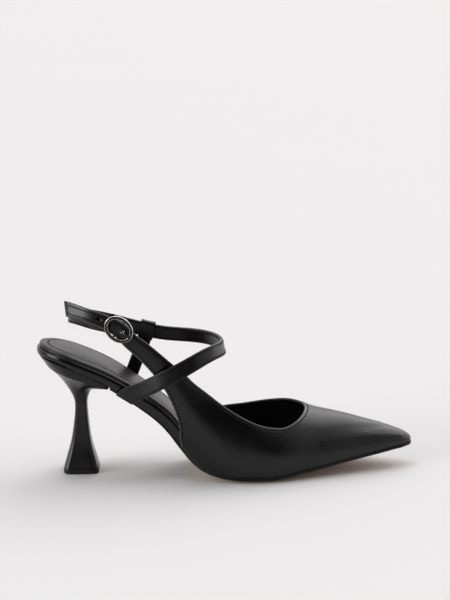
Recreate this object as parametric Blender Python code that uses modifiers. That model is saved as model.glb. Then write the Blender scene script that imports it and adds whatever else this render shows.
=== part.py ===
"""Pointed pump with a flared heel and a crossed ankle strap: one right shoe, standing empty.

Frame: +X to the toe, -Y to the outer side of the foot, +Z up, origin on the floor under the ball.
Tables and sizes are in millimetres, and points become metres where a mesh is made.
"""
import bpy
import bmesh
import numpy as np
from math import asin, cos, pi, radians, sin, sqrt
from types import SimpleNamespace
from mathutils import Matrix, Vector

MM = 0.001
OUTER, INNER = -1, 1

# Thicknesses and clearances
GAP = 0.3
WALL = 1.7
OUTSOLE = 1.9
SOCK = 1.0
SOCK_INSET = 1.8
SOCK_BEVEL = 1.0
BOARD_ROUND = 1.1
BOARD_SHOULDERS = (0.2, 0.75)
STRAP_WIDTH = 9.6
STRAP_FLARE = 1.16
STRAP_TAPER = 0.25
STRAP_THICK = 2.0

# Outline of the insole: heel end, widest heel station, toe tip and the length of the rounded nose
HEEL_END = -136.9
HEEL_WIDEST = -105.0
HEEL_ROUND = 2.2
TIP = 106.6
TIP_REACH = 1.3
NOSE = 8.0
FEATHER = 2.2

# How far the crown draws down round the toe, and the share of its height over which the wall tucks in
TOE_DRAW = 0.65
WALL_TUCK = 0.5

# Heel and outsole
BREAST = -89.9
TOP_PIECE = 2.9

# Fineness of the meshes
ROWS = 10
FRONT_COLUMNS = 15
THROAT_RIBS = 8
RING_STEPS = 48
SPREAD = (0.0, 0.6, 1.0)
SOLE_STEPS = 46
SOLE_ACROSS = 8
HEEL_SIDES = 32
HEEL_STEPS = 14
SEAT_RINGS = (1.0, 0.7, 0.35, 0.0)
SOLE_CROWDING = 1.5
TOE_CROWDING = 1.7
STRAP_STEPS = 72
STRAP_SEARCH = 400
RING_SIDES = 36
PUNCH_SIDES = 16

# Vamp point and how much the topline slants down as it leaves the throat on each side
VAMP = 38.5
THROAT_SLANT_OUTER = 0.0
THROAT_SLANT_INNER = 0.8

# Buckle: oval ring, bar under the strap, prong and punched holes
BUCKLE_X = -83.2
RING_LONG, RING_SHORT = 8.7, 6.9
RING_BAND, RING_DEPTH = 2.2, 1.6
BAR_RADIUS = 0.8
BAR_DROP = 5.5
BAR_REACH = 6.6
FOLD_RADIUS = 1.7
FOLD_THICK = 1.2
PRONG_RADIUS = 0.55
PRONG_SLOT = (7.5, 2.6, 5.6)
PRONG_SLOT_MIDDLE = Vector((-0.25, 0.0, -5.7))
HOLE_RADIUS = 1.5
HOLE_STATIONS = (-81.6, -88.9, -96.4)
PUNCH_DEPTH = 6.0
STRAP_RIB = 8.0
RING_BEVEL = (0.45, 0.4)
BAR_CORNER = 1.2

# Prong from its hook round the bar to the tip on the ring: along the strap and out of its face
PRONG_PATH = [
    (-1.5, -3.1),
    (-2.1, -2.0),
    (-2.8, -0.6),
    (-4.0, 0.5),
    (-6.0, 1.2),
    (-9.2, 1.8),
]

# The ankle strap's last run to the bar: along, across and out; then the run and shift of its fold
STRAP_END = [
    (9.0, 4.2, -4.25),
    (4.2, 1.8, -3.85),
]
FOLD_RUN = (2.4, 9.0)
FOLD_SHIFT = 0.5
SKIVE_STEPS = 4


class Table:
    """Rows of named columns, joined by natural cubic curves along the first column."""

    def __init__(self, columns, rows):
        self.columns = columns.split()[1:]
        grid = np.array(rows, dtype=float)
        self.keys = grid[:, 0]
        self.values = grid[:, 1:]
        step = np.diff(self.keys)
        system = np.eye(len(self.keys))
        load = np.zeros_like(self.values)
        for i in range(1, len(self.keys) - 1):
            system[i, i - 1:i + 2] = step[i - 1], 2 * (step[i - 1] + step[i]), step[i]
            rise = np.diff(self.values[i - 1:i + 2], axis=0)
            load[i] = 6 * (rise[1] / step[i] - rise[0] / step[i - 1])
        self.bends = np.linalg.solve(system, load)

    def at(self, key):
        key = min(max(key, self.keys[0]), self.keys[-1])
        i = min(max(int(np.searchsorted(self.keys, key)) - 1, 0), len(self.keys) - 2)
        step = self.keys[i + 1] - self.keys[i]
        a = (self.keys[i + 1] - key) / step
        b = 1 - a
        row = a * self.values[i] + b * self.values[i + 1]
        row = row + ((a**3 - a) * self.bends[i] + (b**3 - b) * self.bends[i + 1]) * step**2 / 6
        return SimpleNamespace(**dict(zip(self.columns, row)))


# Side profile: top of the outsole on the centre line, rise to its edge, thickness of the board
PROFILE = Table("x seat rise board", [
    (-138.5, 80.2, 0.0, 4.4),
    (-125.0, 77.0, 0.0, 5.0),
    (-110.0, 71.4, 0.0, 5.2),
    (-95.0, 63.8, 0.2, 5.6),
    (-80.0, 53.8, 0.6, 6.2),
    (-65.0, 42.6, 0.9, 6.5),
    (-52.0, 30.3, 1.2, 6.3),
    (-42.0, 17.3, 1.4, 5.8),
    (-34.0, 8.9, 1.6, 5.0),
    (-24.0, 4.1, 1.8, 4.2),
    (-12.0, 2.0, 2.0, 3.5),
    (2.0, 1.5, 2.1, 3.2),
    (16.0, 1.9, 1.9, 3.0),
    (30.0, 3.9, 1.7, 2.9),
    (50.0, 7.0, 1.4, 2.7),
    (70.0, 9.8, 1.1, 2.5),
    (90.0, 12.8, 0.5, 2.3),
    (110.0, 15.8, 0.0, 2.2),
])

# Plan of the insole: foot axis and half-widths to the outer and inner side
OUTLINE = Table("x axis outer inner", [
    (-105.0, 0.0, 25.8, 24.8),
    (-88.0, 0.0, 24.3, 23.8),
    (-70.0, 0.0, 22.0, 20.5),
    (-55.0, 0.1, 21.0, 18.8),
    (-42.0, 0.3, 23.0, 18.8),
    (-28.0, 0.5, 29.0, 23.5),
    (-12.0, 0.8, 35.3, 30.0),
    (4.0, 1.3, 37.0, 34.0),
    (18.0, 1.7, 35.8, 34.8),
    (35.0, 2.2, 31.0, 31.5),
    (55.0, 2.6, 24.2, 25.0),
    (75.0, 2.9, 16.4, 17.2),
    (92.0, 3.0, 9.6, 10.2),
    (100.0, 3.0, 6.2, 6.4),
    (110.0, 3.0, 2.4, 2.4),
])

# How far the outsole stands out from the insole outline
WELT = Table("x margin", [
    (-95.0, -5.6),
    (-75.0, -5.6),
    (-58.0, -4.4),
    (-44.0, -1.2),
    (-32.0, 1.4),
    (-15.0, 2.1),
    (20.0, 2.1),
    (110.0, 2.4),
])

# The last above the sole: half-widths of the wall, crown height and fullness of the section
LAST = Table("x outer inner crown full", [
    (-120.0, 12.0, 12.0, 182.0, 5.0),
    (-105.0, 24.0, 24.0, 172.0, 5.0),
    (-95.0, 28.0, 26.0, 165.0, 4.8),
    (-83.0, 30.5, 27.0, 153.0, 4.4),
    (-70.0, 32.5, 27.0, 140.0, 4.0),
    (-50.0, 34.1, 27.0, 112.0, 2.9),
    (-32.0, 36.2, 29.0, 84.0, 2.35),
    (-14.0, 38.6, 34.0, 66.5, 2.3),
    (4.0, 41.3, 38.3, 55.5, 2.3),
    (20.0, 39.6, 39.0, 48.8, 2.2),
    (30.0, 36.7, 37.2, 45.0, 2.2),
    (38.5, 33.6, 34.6, 41.3, 2.2),
    (60.0, 25.8, 26.6, 36.0, 2.1),
    (80.0, 18.0, 18.8, 30.6, 2.1),
    (95.0, 12.0, 12.6, 26.2, 2.1),
    (103.0, 8.4, 8.7, 23.3, 2.1),
    (110.0, 5.6, 5.8, 21.2, 2.1),
])

# Ribs of the outer quarter from the throat back to the tail: foot and top of each (foot 0 is the sole)
QUARTER = [
    (12.0, 0.0, 17.0, 34.6),
    (2.0, 0.0, 6.8, 36.8),
    (-9.0, 0.0, -5.2, 42.1),
    (-21.0, 0.0, -17.3, 49.6),
    (-33.0, 0.0, -28.0, 58.1),
    (-43.6, 0.0, -36.5, 65.2),
    (-45.3, 36.0, -42.0, 71.0),
    (-49.0, 49.5, -47.5, 75.8),
    (-55.0, 62.3, -54.0, 81.6),
    (-62.5, 72.7, -61.0, 87.7),
    (-71.0, 82.0, -67.5, 93.0),
    (-79.8, 89.9, -73.2, 97.3),
    (-86.2, 96.8, -80.8, 104.3),
    (-95.2, 101.9, -91.8, 109.4),
    (-106.0, 105.4, -104.0, 113.0),
    (-116.6, 107.0, -118.6, 115.9),
]

# Ribs of the low inner side
INNER_SIDE = [
    (14.0, 0.0, 20.0, 39.0),
    (0.0, 0.0, 2.2, 35.2),
    (-14.0, 0.0, -14.0, 33.7),
    (-26.0, 0.0, -27.0, 29.0),
    (-35.0, 0.0, -37.0, 23.5),
    (-41.5, 0.0, -44.0, 27.0),
]

# Heel from the top piece up to the seat: back and front of each section, half-width, squareness
HEEL = Table("step back back_z front front_z half square", [
    (0, -120.7, 3.2, -97.9, 3.2, 11.5, 3.0),
    (1, -118.2, 12.0, -100.3, 12.0, 10.2, 2.8),
    (2, -115.2, 24.0, -103.0, 24.0, 8.6, 2.6),
    (3, -113.0, 42.0, -104.7, 43.0, 7.6, 2.3),
    (4, -113.9, 50.5, -104.8, 50.5, 8.6, 2.2),
    (5, -117.5, 57.2, -102.6, 55.0, 11.5, 2.2),
    (6, -124.0, 66.2, -98.0, 57.5, 17.0, 2.3),
    (7, -131.0, 73.3, -93.0, 58.9, 22.5, 2.5),
])
HEEL_SEAT = SimpleNamespace(back=-136.2, front=-90.2, half=24.8, square_back=2.2, square_front=6.0)

# Ankle strap: middle line from the outer insole edge round to the buckle, and how far its top leans in
ANKLE_PATH = [
    (-70.0, -29.0, 60.4, 1.0),
    (-58.0, -35.2, 67.6, 6.0),
    (-41.0, -36.3, 77.0, 10.0),
    (-27.3, -29.0, 83.0, 13.0),
    (-16.4, -7.0, 83.8, 13.0),
    (-22.2, 13.0, 84.2, 12.0),
    (-34.0, 23.6, 84.4, 10.0),
    (-56.0, 28.0, 85.7, 8.0),
    (-66.0, 28.5, 87.7, 7.0),
    (-91.0, 26.5, 94.7, 3.0),
    (-106.0, 17.0, 99.8, 0.0),
    (-115.4, 0.0, 104.1, 0.0),
    (-108.6, -14.8, 105.3, 0.0),
    (-100.0, -22.2, 104.2, 0.0),
]
ANKLE_FOOT_X = -80.5
ANKLE_FOOT_SKEW = 25.0
ANKLE_FOOT_FADE = 18.0
ANKLE_RISE = Vector((2.4, -1.9, 2.6))

# Tab and loop on the inner side, and the strip ends tucked under the board
TAB_FOOT_X = -78.5
TAB_WIDTH = 8.8
TAB_THICK = 2.2
LOOP_X = -65.6
LOOP_LENGTH = 10.0
LOOP_CLEAR = 0.35
LOOP_WALL = 1.2
TUCK = 4.4
TUCK_THICK = 1.4
TUCK_DROP = 0.4
FOOT_SPREAD = 1.12
TAB_SHARES = (0.14, 0.4, 0.7, 1.0)
LOOP_BITE = 0.6


def seat(x):
    return PROFILE.at(x).seat


def upright(x):
    """Vertical measure of one unit of thickness on the sloping profile."""
    return sqrt(1 + (seat(x + 0.5) - seat(x - 0.5))**2)


def tread(x, reach):
    """Top of the outsole, reach from 0 on the foot axis to 1 at the insole outline."""
    row = PROFILE.at(x)
    return row.seat + row.rise * reach**3


def edge(x):
    """Lower edge of the upper, just above the outsole."""
    return tread(x, 1) + GAP


def nose(x, margin):
    """1 along the foot, falling to 0 round the tip of the toe."""
    tip = TIP + TIP_REACH * margin
    reach = 1 - (tip - x) / NOSE
    return sqrt(max(0.0, 1 - max(reach, 0.0)**2))


def half_width(x, side, margin=0.0):
    """Half-width of the insole outline grown by a margin, round at the heel and the toe."""
    row = OUTLINE.at(max(x, HEEL_WIDEST))
    width = (row.outer if side == OUTER else row.inner) + margin
    if x < HEEL_WIDEST:
        reach = min((HEEL_WIDEST - x) / (HEEL_WIDEST - HEEL_END + margin), 1.0)
        return width * (1 - reach**HEEL_ROUND)**(1 / HEEL_ROUND)
    return width * nose(x, margin)


def axis(x):
    return OUTLINE.at(x).axis


def reach_of(x, side, off):
    """Share of the insole's half-width that a point lies off the foot axis, at most 1."""
    full = half_width(x, side)
    return min(1.0, off / full) if full > 0.01 else 1.0


def crown(x):
    """Height of the last's section at x, drawn down round the toe."""
    return (LAST.at(x).crown - edge(x)) * (1 - TOE_DRAW + TOE_DRAW * nose(x, FEATHER))


def wall_point(x, side, around):
    """Outer face of the upper: around is 0 at the sole and a quarter turn at the crown."""
    row = LAST.at(x)
    power = 2 / row.full
    lift = sin(around)**power
    wall = (row.outer if side == OUTER else row.inner) * nose(x, FEATHER)
    tuck = (wall - half_width(x, side, FEATHER)) * max(0.0, 1 - lift / WALL_TUCK)**2
    y = wall * max(0.0, cos(around))**power - tuck
    return Vector((x, axis(x) + side * y, edge(x) + crown(x) * lift))


def around_at(x, z):
    """The turn round the last's section at which its wall has height z."""
    lift = min(max((z - edge(x)) / crown(x), 0.0), 1.0)
    return asin(lift**(LAST.at(x).full / 2))


def make_object(name, bm, finish):
    """Turn a mesh in millimetres into a smooth object of the shoe."""
    bmesh.ops.remove_doubles(bm, verts=bm.verts, dist=0.01)
    bmesh.ops.dissolve_degenerate(bm, edges=bm.edges, dist=0.001)
    bmesh.ops.scale(bm, vec=(MM, MM, MM), verts=bm.verts)
    mesh = bpy.data.meshes.new(name)
    bm.to_mesh(mesh)
    bm.free()
    mesh.shade_smooth()
    mesh.set_sharp_from_angle(angle=radians(35))
    obj = bpy.data.objects.new(name, mesh)
    mesh.materials.append(finish)
    PARTS.objects.link(obj)
    return obj


def loft(name, loops, finish, closed=False):
    """Closed body through loops of equal count; loops that shrink to a point or line need no cap."""
    bm = bmesh.new()
    rings = [[bm.verts.new(point) for point in loop] for loop in loops]
    count = len(rings[0])
    pairs = list(zip(rings, rings[1:]))
    if closed:
        pairs.append((rings[-1], rings[0]))
    for low, high in pairs:
        for i in range(count):
            j = (i + 1) % count
            bm.faces.new((low[i], low[j], high[j], high[i]))
    bmesh.ops.remove_doubles(bm, verts=bm.verts, dist=0.01)
    bmesh.ops.holes_fill(bm, edges=[e for e in bm.edges if e.is_boundary], sides=0)
    bmesh.ops.recalc_face_normals(bm, faces=bm.faces)
    return make_object(name, bm, finish)


def paint(name, colour, roughness, metallic=0.0):
    finish = bpy.data.materials.new(name)
    finish.use_nodes = True
    shader = finish.node_tree.nodes["Principled BSDF"]
    shader.inputs["Base Color"].default_value = (*colour, 1.0)
    shader.inputs["Roughness"].default_value = roughness
    shader.inputs["Metallic"].default_value = metallic
    return finish


def cut(obj, cutter, operation="DIFFERENCE"):
    """Boolean with a hidden tool body."""
    cutter.hide_render = True
    cutter.display_type = "WIRE"
    for holder in cutter.users_collection:
        holder.objects.unlink(cutter)
    CUTTERS.objects.link(cutter)
    modifier = obj.modifiers.new(cutter.name, "BOOLEAN")
    modifier.operation = operation
    modifier.object = cutter
    modifier.solver = "EXACT"


def outline_ring(margin, k, height):
    """Ring of points round the insole outline, drawn in to k of its width."""
    front = TIP + TIP_REACH * margin
    back = HEEL_END - margin
    ring = []
    for side, turns in ((OUTER, range(RING_STEPS + 1)), (INNER, range(RING_STEPS, -1, -1))):
        for i in turns:
            x = (front + back) / 2 + (front - back) / 2 * cos(pi * i / RING_STEPS)
            off = k * half_width(x, side, margin)
            ring.append((x, axis(x) + side * off, height(x, reach_of(x, side, off))))
    return ring


def board_low(x, reach):
    return tread(x, reach) + GAP


def board_top(x, reach):
    return board_low(x, reach) + PROFILE.at(x).board * upright(x)


def make_insole_board(finish):
    """Moulded board in a leather wrap: a plate with round edges on the sole's own profile."""
    def height(share):
        return lambda x, reach: board_low(x, reach) + share * PROFILE.at(x).board * upright(x)

    loops = [outline_ring(-BOARD_ROUND, k, height(0.0)) for k in SPREAD]
    loops += [outline_ring(0.0, 1.0, height(share)) for share in BOARD_SHOULDERS]
    loops += [outline_ring(-BOARD_ROUND, k, height(1.0)) for k in reversed(SPREAD)]
    return loft("insole_board", loops, finish)


def make_sock_liner(finish):
    """Thin sock on the board, with a soft edge."""
    def height(share):
        return lambda x, reach: board_top(x, reach) + GAP + share * SOCK * upright(x)

    loops = [outline_ring(-SOCK_INSET, k, height(0.0)) for k in SPREAD]
    loops += [outline_ring(-SOCK_INSET - SOCK_BEVEL, k, height(1.0)) for k in reversed(SPREAD)]
    return loft("sock_liner", loops, finish)


def make_outsole(finish):
    """Thin sole from the toe to the heel breast, ground flat where the ball treads."""
    front = TIP + TIP_REACH * WELT.at(TIP).margin
    loops = []
    for i in range(SOLE_STEPS + 1):
        x = front + (BREAST - front) * (i / SOLE_STEPS)**SOLE_CROWDING
        margin = WELT.at(x).margin
        top, low = [], []
        for j in range(SOLE_ACROSS + 1):
            k = 2 * j / SOLE_ACROSS - 1
            side = OUTER if k < 0 else INNER
            off = abs(k) * half_width(x, side, margin)
            height = tread(x, reach_of(x, side, off))
            top.append((x, axis(x) + side * off, height))
            low.append((x, axis(x) + side * off, max(0.0, height - OUTSOLE * upright(x))))
        loops.append(top + low[::-1])
    return loft("outsole", loops, finish)


def oval(back, front, half, square_back, square_front, height, scale=1.0):
    """Plan loop of the heel, rounder at the back than at the breast."""
    middle, reach = (back + front) / 2, (front - back) / 2
    loop = []
    for i in range(HEEL_SIDES):
        turn = 2 * pi * i / HEEL_SIDES
        c, s = cos(turn), sin(turn)
        power = 2 / (square_front if c > 0 else square_back)
        x = middle + scale * reach * np.sign(c) * abs(c)**power
        y = scale * half * np.sign(s) * abs(s)**power
        loop.append((x, y, height(x)))
    return loop


def heel_section(row, drop=0.0):
    def height(x):
        share = (x - row.back) / (row.front - row.back)
        return row.back_z + (row.front_z - row.back_z) * share - drop

    return oval(row.back, row.front, row.half, row.square, row.square, height)


def make_heel(finish):
    """Flared heel with a narrow waist, spread at the top to carry the seat."""
    last = HEEL.keys[-1]
    loops = [heel_section(HEEL.at(last * i / HEEL_STEPS)) for i in range(HEEL_STEPS + 1)]
    top = HEEL_SEAT
    for scale in SEAT_RINGS:
        loops.append(oval(top.back, top.front, top.half, top.square_back, top.square_front, seat, scale))
    return loft("heel", loops, finish)


def make_heel_tip(finish):
    """Flat top piece under the heel."""
    base = HEEL.at(0)
    loops = [heel_section(base, base.back_z), heel_section(base, base.back_z - TOP_PIECE)]
    return loft("heel_tip", loops, finish)


def throat_ribs(end, low_end, slant):
    """Ribs from the vamp point round the throat to where the topline runs back along the foot."""
    end_x, end_z = end
    drop = pi / 2 - around_at(end_x, end_z)
    for i in range(THROAT_RIBS):
        share = i / THROAT_RIBS
        turn = pi / 2 * share
        fall = (1 - slant) * sin(turn) + slant * share
        low_x = VAMP + (low_end - VAMP) * share
        yield low_x, 0.0, end_x + (VAMP - end_x) * cos(turn), pi / 2 - drop * fall


def rib_table(rows):
    """Ribs in the last's own terms: x and turn at the foot and at the top of each."""
    return Table("step low_x low_turn top_x top_turn", [
        (i, low_x, around_at(low_x, low_z), top_x, around_at(top_x, top_z))
        for i, (low_x, low_z, top_x, top_z) in enumerate(rows)
    ])


QUARTER_RIBS = rib_table(QUARTER)


def side_columns(rows, slant, side):
    """Columns of points on the last along one side of the upper."""
    low_x, _, end_x, end_z = rows[0]
    ribs = list(throat_ribs((end_x, end_z), low_x, slant))
    table = rib_table(rows)
    for i in range(2 * len(rows) - 1):
        row = table.at(i / 2)
        ribs.append((row.low_x, max(row.low_turn, 0.0), row.top_x, row.top_turn))
    for low_x, low_turn, top_x, top_turn in ribs:
        column = []
        for r in range(ROWS + 1):
            share = r / ROWS
            x = low_x + (top_x - low_x) * share
            column.append(wall_point(x, side, low_turn + (top_turn - low_turn) * share))
        yield column if side == OUTER else column[::-1]


def front_columns():
    """Columns from the toe tip back to the vamp point, over the crown from side to side."""
    tip = TIP + TIP_REACH * FEATHER
    turns = [pi / 2 * r / ROWS for r in range(ROWS + 1)]
    for i in range(FRONT_COLUMNS + 1):
        x = tip + (VAMP - tip) * (i / FRONT_COLUMNS)**TOE_CROWDING
        column = [wall_point(x, OUTER, turn) for turn in turns]
        yield column + [wall_point(x, INNER, turn) for turn in turns[-2::-1]]


def add_grid(bm, columns):
    verts = [[bm.verts.new(point) for point in column] for column in columns]
    for here, there in zip(verts, verts[1:]):
        for r in range(len(here) - 1):
            bm.faces.new((here[r], here[r + 1], there[r + 1], there[r]))


def make_upper(finish):
    """Vamp, quarter strap and inner side: one sheet on the last, thickened inwards, tail punched."""
    bm = bmesh.new()
    add_grid(bm, list(front_columns()))
    add_grid(bm, list(side_columns(QUARTER, THROAT_SLANT_OUTER, OUTER)))
    add_grid(bm, list(side_columns(INNER_SIDE, THROAT_SLANT_INNER, INNER)))
    upper = make_object("upper", bm, finish)
    solid = upper.modifiers.new("wall", "SOLIDIFY")
    solid.thickness = WALL * MM
    solid.offset = -1
    solid.use_even_offset = True
    for i, x in enumerate(HOLE_STATIONS):
        punch = bmesh.new()
        bmesh.ops.create_cone(punch, cap_ends=True, segments=PUNCH_SIDES, radius1=HOLE_RADIUS,
                              radius2=HOLE_RADIUS, depth=PUNCH_DEPTH)
        tool = make_object(f"punch_{i}", punch, finish)
        tool.matrix_world = strap_frame(x)
        cut(upper, tool)
    return upper


def strap_middle(step):
    row = QUARTER_RIBS.at(step)
    return wall_point((row.low_x + row.top_x) / 2, OUTER, (row.low_turn + row.top_turn) / 2)


def strap_frame(x, lift=0.0):
    """Frame on the quarter strap at x: X along it to the tail, Z out of its face."""
    low, high = STRAP_RIB, len(QUARTER) - 1.0
    for _ in range(40):
        step = (low + high) / 2
        if strap_middle(step).x > x:
            low = step
        else:
            high = step
    here = strap_middle(step)
    along = (strap_middle(step + 0.3) - strap_middle(step - 0.3)).normalized()
    turn = around_at(here.x, here.z)
    up = wall_point(here.x, OUTER, turn + 0.02) - wall_point(here.x, OUTER, turn - 0.02)
    out = along.cross(up).normalized()
    if out.y > 0:
        out = -out
    frame = Matrix((along, out.cross(along), out)).transposed().to_4x4()
    frame.translation = (here + out * lift) * MM
    return frame


def buckle_frame_matrix():
    """Middle of the ring, clear of the strap below it."""
    return strap_frame(BUCKLE_X, RING_DEPTH / 2 + GAP)


def buckle_point(matrix, along, across, out):
    return (matrix @ (Vector((along, across, out)) * MM)) / MM


def ribbon(name, stations, finish):
    """Strip through stations of a middle point, a half-width and a half-thickness."""
    loops = []
    for middle, wide, thick in stations:
        loops.append([middle + wide + thick, middle - wide + thick,
                      middle - wide - thick, middle + wide - thick])
    return loft(name, loops, finish)


def tucked_foot(x, side, width, thick):
    """Stations of a strip that comes out from under the board and turns up beside its edge."""
    def rim(at):
        return Vector((at, axis(at) + side * half_width(at, side), board_low(at, 1)))

    along = (rim(x + 3) - rim(x - 3)).normalized() * (-width / 2)
    out = Vector((0, side, 0))
    down = Vector((0, 0, -1))
    corner = rim(x) + out * (GAP + thick / 2) + down * (TUCK_DROP + thick / 2)
    under = corner - out * (TUCK + thick / 2)
    return [(under, along, down * thick / 2), (corner, along, (out + down) * thick / 2)]


def path_stations(points, leans, width, thick, count, skew=0.0, settle=0.0):
    """Stations along a smooth path; skew turns the first end and fades out over settle."""
    reach = np.concatenate(([0.0], np.cumsum([(b - a).length for a, b in zip(points, points[1:])])))
    table = Table("reach x y z lean", [
        (r, *point, lean) for r, point, lean in zip(reach, points, leans)
    ])

    def place(r):
        row = table.at(r)
        return Vector((row.x, row.y, row.z))

    stations = []
    for i in range(count + 1):
        r = reach[-1] * i / count
        ahead = (place(min(r + 0.5, reach[-1])) - place(max(r - 0.5, 0.0))).normalized()
        out = ahead.cross(Vector((0, 0, 1))).normalized()
        up = out.cross(ahead)
        lean = radians(table.at(r).lean)
        wide = up * cos(lean) - out * sin(lean)
        face = out * cos(lean) + up * sin(lean)
        turned = skew * max(0.0, 1 - r / settle)**2 if settle else 0.0
        wide = (wide * cos(turned) + ahead * sin(turned)) / cos(turned)
        stations.append((place(r), wide * width / 2, face * thick / 2))
    return stations


def fold_stations(matrix):
    """The strap's skived end turned round the buckle bar and laid back on itself."""
    across = (matrix.to_3x3() @ Vector((0, -1, 0))) * STRAP_WIDTH / 2
    spots = [(FOLD_RUN[0], FOLD_RADIUS, 90.0)]
    spots += [(FOLD_RADIUS * cos(radians(a)), FOLD_RADIUS * sin(radians(a)), a) for a in range(90, 271, 30)]
    spots += [(FOLD_RUN[1], -FOLD_RADIUS, 270.0)]
    stations = []
    for along, out, turn in spots:
        middle = buckle_point(matrix, along, FOLD_SHIFT, out - BAR_DROP)
        face = matrix.to_3x3() @ Vector((cos(radians(turn)), 0, sin(radians(turn))))
        stations.append((middle, across, face * FOLD_THICK / 2))
    return stations


def make_ankle_strap(finish):
    """One long strip: outer insole edge, instep, inner loop, round the heel, buckle bar."""
    foot = tucked_foot(ANKLE_FOOT_X, OUTER, STRAP_WIDTH * STRAP_FLARE * FOOT_SPREAD, TUCK_THICK)
    corner = foot[-1][0]
    points = [corner + ANKLE_RISE]
    leans = [0.0]
    for x, y, z, lean in ANKLE_PATH:
        points.append(Vector((x, y, z)))
        leans.append(lean)
    matrix = buckle_frame_matrix()
    for along, across, out in STRAP_END:
        points.append(buckle_point(matrix, along, across, out))
        leans.append(0.0)
    strip = path_stations(points, leans, STRAP_WIDTH, STRAP_THICK, STRAP_STEPS,
                          radians(-ANKLE_FOOT_SKEW), ANKLE_FOOT_FADE)
    for i in range(SKIVE_STEPS):
        middle, wide, face = strip[-1 - i]
        share = 1 - i / SKIVE_STEPS
        strip[-1 - i] = (middle, wide, face * (1 + (FOLD_THICK / STRAP_THICK - 1) * share))
    for i, (middle, wide, face) in enumerate(strip):
        flare = (STRAP_FLARE - 1) * max(0.0, 1 - i / (STRAP_TAPER * STRAP_STEPS))
        strip[i] = (middle, wide * (1 + flare), face)
    strap = ribbon("ankle_strap", foot + strip + fold_stations(matrix), finish)
    slot = bmesh.new()
    bmesh.ops.create_cube(slot, size=1.0)
    bmesh.ops.scale(slot, vec=PRONG_SLOT, verts=slot.verts)
    tool = make_object("prong_slot", slot, finish)
    tool.matrix_world = matrix @ Matrix.Translation(PRONG_SLOT_MIDDLE * MM)
    cut(strap, tool)
    return strap


def strap_at(x):
    """Middle, width and face direction of the ankle strap where its inner run passes x."""
    points = [Vector(row[:3]) for row in ANKLE_PATH]
    leans = [row[3] for row in ANKLE_PATH]
    runs = [s for s in path_stations(points, leans, 2.0, 2.0, STRAP_SEARCH) if s[0].y > 15]
    return min(runs, key=lambda s: abs(s[0].x - x))


def make_medial_tab(finish):
    """Upright tab from the inner insole edge, folded at the top into a loop round the strap."""
    middle, wide, face = strap_at(LOOP_X)
    ahead = wide.cross(face).normalized()
    half_wide = STRAP_WIDTH / 2 + LOOP_CLEAR
    half_thick = STRAP_THICK / 2 + LOOP_CLEAR
    loops = []
    for grow, end in ((LOOP_WALL, -1), (LOOP_WALL, 1), (0.0, 1), (0.0, -1)):
        at = middle + ahead * (end * LOOP_LENGTH / 2)
        loops.append([at + wide * (a * (half_wide + grow)) + face * (b * (half_thick + grow))
                      for a, b in ((1, 1), (-1, 1), (-1, -1), (1, -1))])
    sleeve = loft("tab_loop", loops, finish, closed=True)
    foot = tucked_foot(TAB_FOOT_X, INNER, TAB_WIDTH * FOOT_SPREAD, TUCK_THICK)
    corner, low_wide, _ = foot[-1]
    top = middle - wide * (half_wide + LOOP_WALL * LOOP_BITE)
    upright_tab = []
    for share in TAB_SHARES:
        turned = low_wide.normalized().lerp(ahead, share).normalized()
        upright_tab.append((corner.lerp(top, share), turned * TAB_WIDTH / 2, Vector((0, TAB_THICK / 2, 0))))
    tab = ribbon("medial_tab", foot + upright_tab, finish)
    cut(tab, sleeve, "UNION")
    return tab


def tube(name, points, radius, finish):
    """Round wire through the points."""
    data = bpy.data.curves.new(name, "CURVE")
    data.dimensions = "3D"
    data.bevel_depth = radius * MM
    data.bevel_resolution = 2
    data.use_fill_caps = True
    spline = data.splines.new("POLY")
    spline.points.add(len(points) - 1)
    for spot, point in zip(spline.points, points):
        spot.co = (*(Vector(point) * MM), 1.0)
    data.materials.append(finish)
    obj = bpy.data.objects.new(name, data)
    PARTS.objects.link(obj)
    return obj


def as_mesh(curve):
    """Plain mesh object in place of a curve, its caps welded on."""
    bpy.context.view_layer.update()
    name = curve.name
    mesh = bpy.data.meshes.new_from_object(curve.evaluated_get(bpy.context.evaluated_depsgraph_get()))
    matrix = curve.matrix_world.copy()
    bpy.data.objects.remove(curve)
    bm = bmesh.new()
    bm.from_mesh(mesh)
    bmesh.ops.remove_doubles(bm, verts=bm.verts, dist=1e-5)
    bm.to_mesh(mesh)
    bm.free()
    obj = bpy.data.objects.new(name, mesh)
    obj.matrix_world = matrix
    PARTS.objects.link(obj)
    return obj


def make_buckle_frame(finish):
    """Oval ring with a bar slung below it for the strap's folded end."""
    band, depth = RING_BAND / 2, RING_DEPTH / 2
    flat, side = RING_BEVEL[0] * band, RING_BEVEL[1] * depth
    profile = ((band, side), (flat, depth), (-flat, depth), (-band, side),
               (-band, -side), (-flat, -depth), (flat, -depth), (band, -side))
    loops = []
    for i in range(RING_SIDES):
        turn = 2 * pi * i / RING_SIDES
        loops.append([((RING_LONG + out) * cos(turn), (RING_SHORT + out) * sin(turn), up)
                      for out, up in profile])
    ring = loft("buckle_frame", loops, finish, closed=True)
    ring.matrix_world = buckle_frame_matrix()
    hanger = [(0, BAR_REACH, 0), (0, BAR_REACH, BAR_CORNER - BAR_DROP),
              (0, BAR_REACH - BAR_CORNER, -BAR_DROP)]
    bar = tube("bar", hanger + [(0, -y, z) for _, y, z in reversed(hanger)], BAR_RADIUS, finish)
    bar.matrix_world = buckle_frame_matrix()
    cut(ring, as_mesh(bar), "UNION")
    return ring


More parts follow.
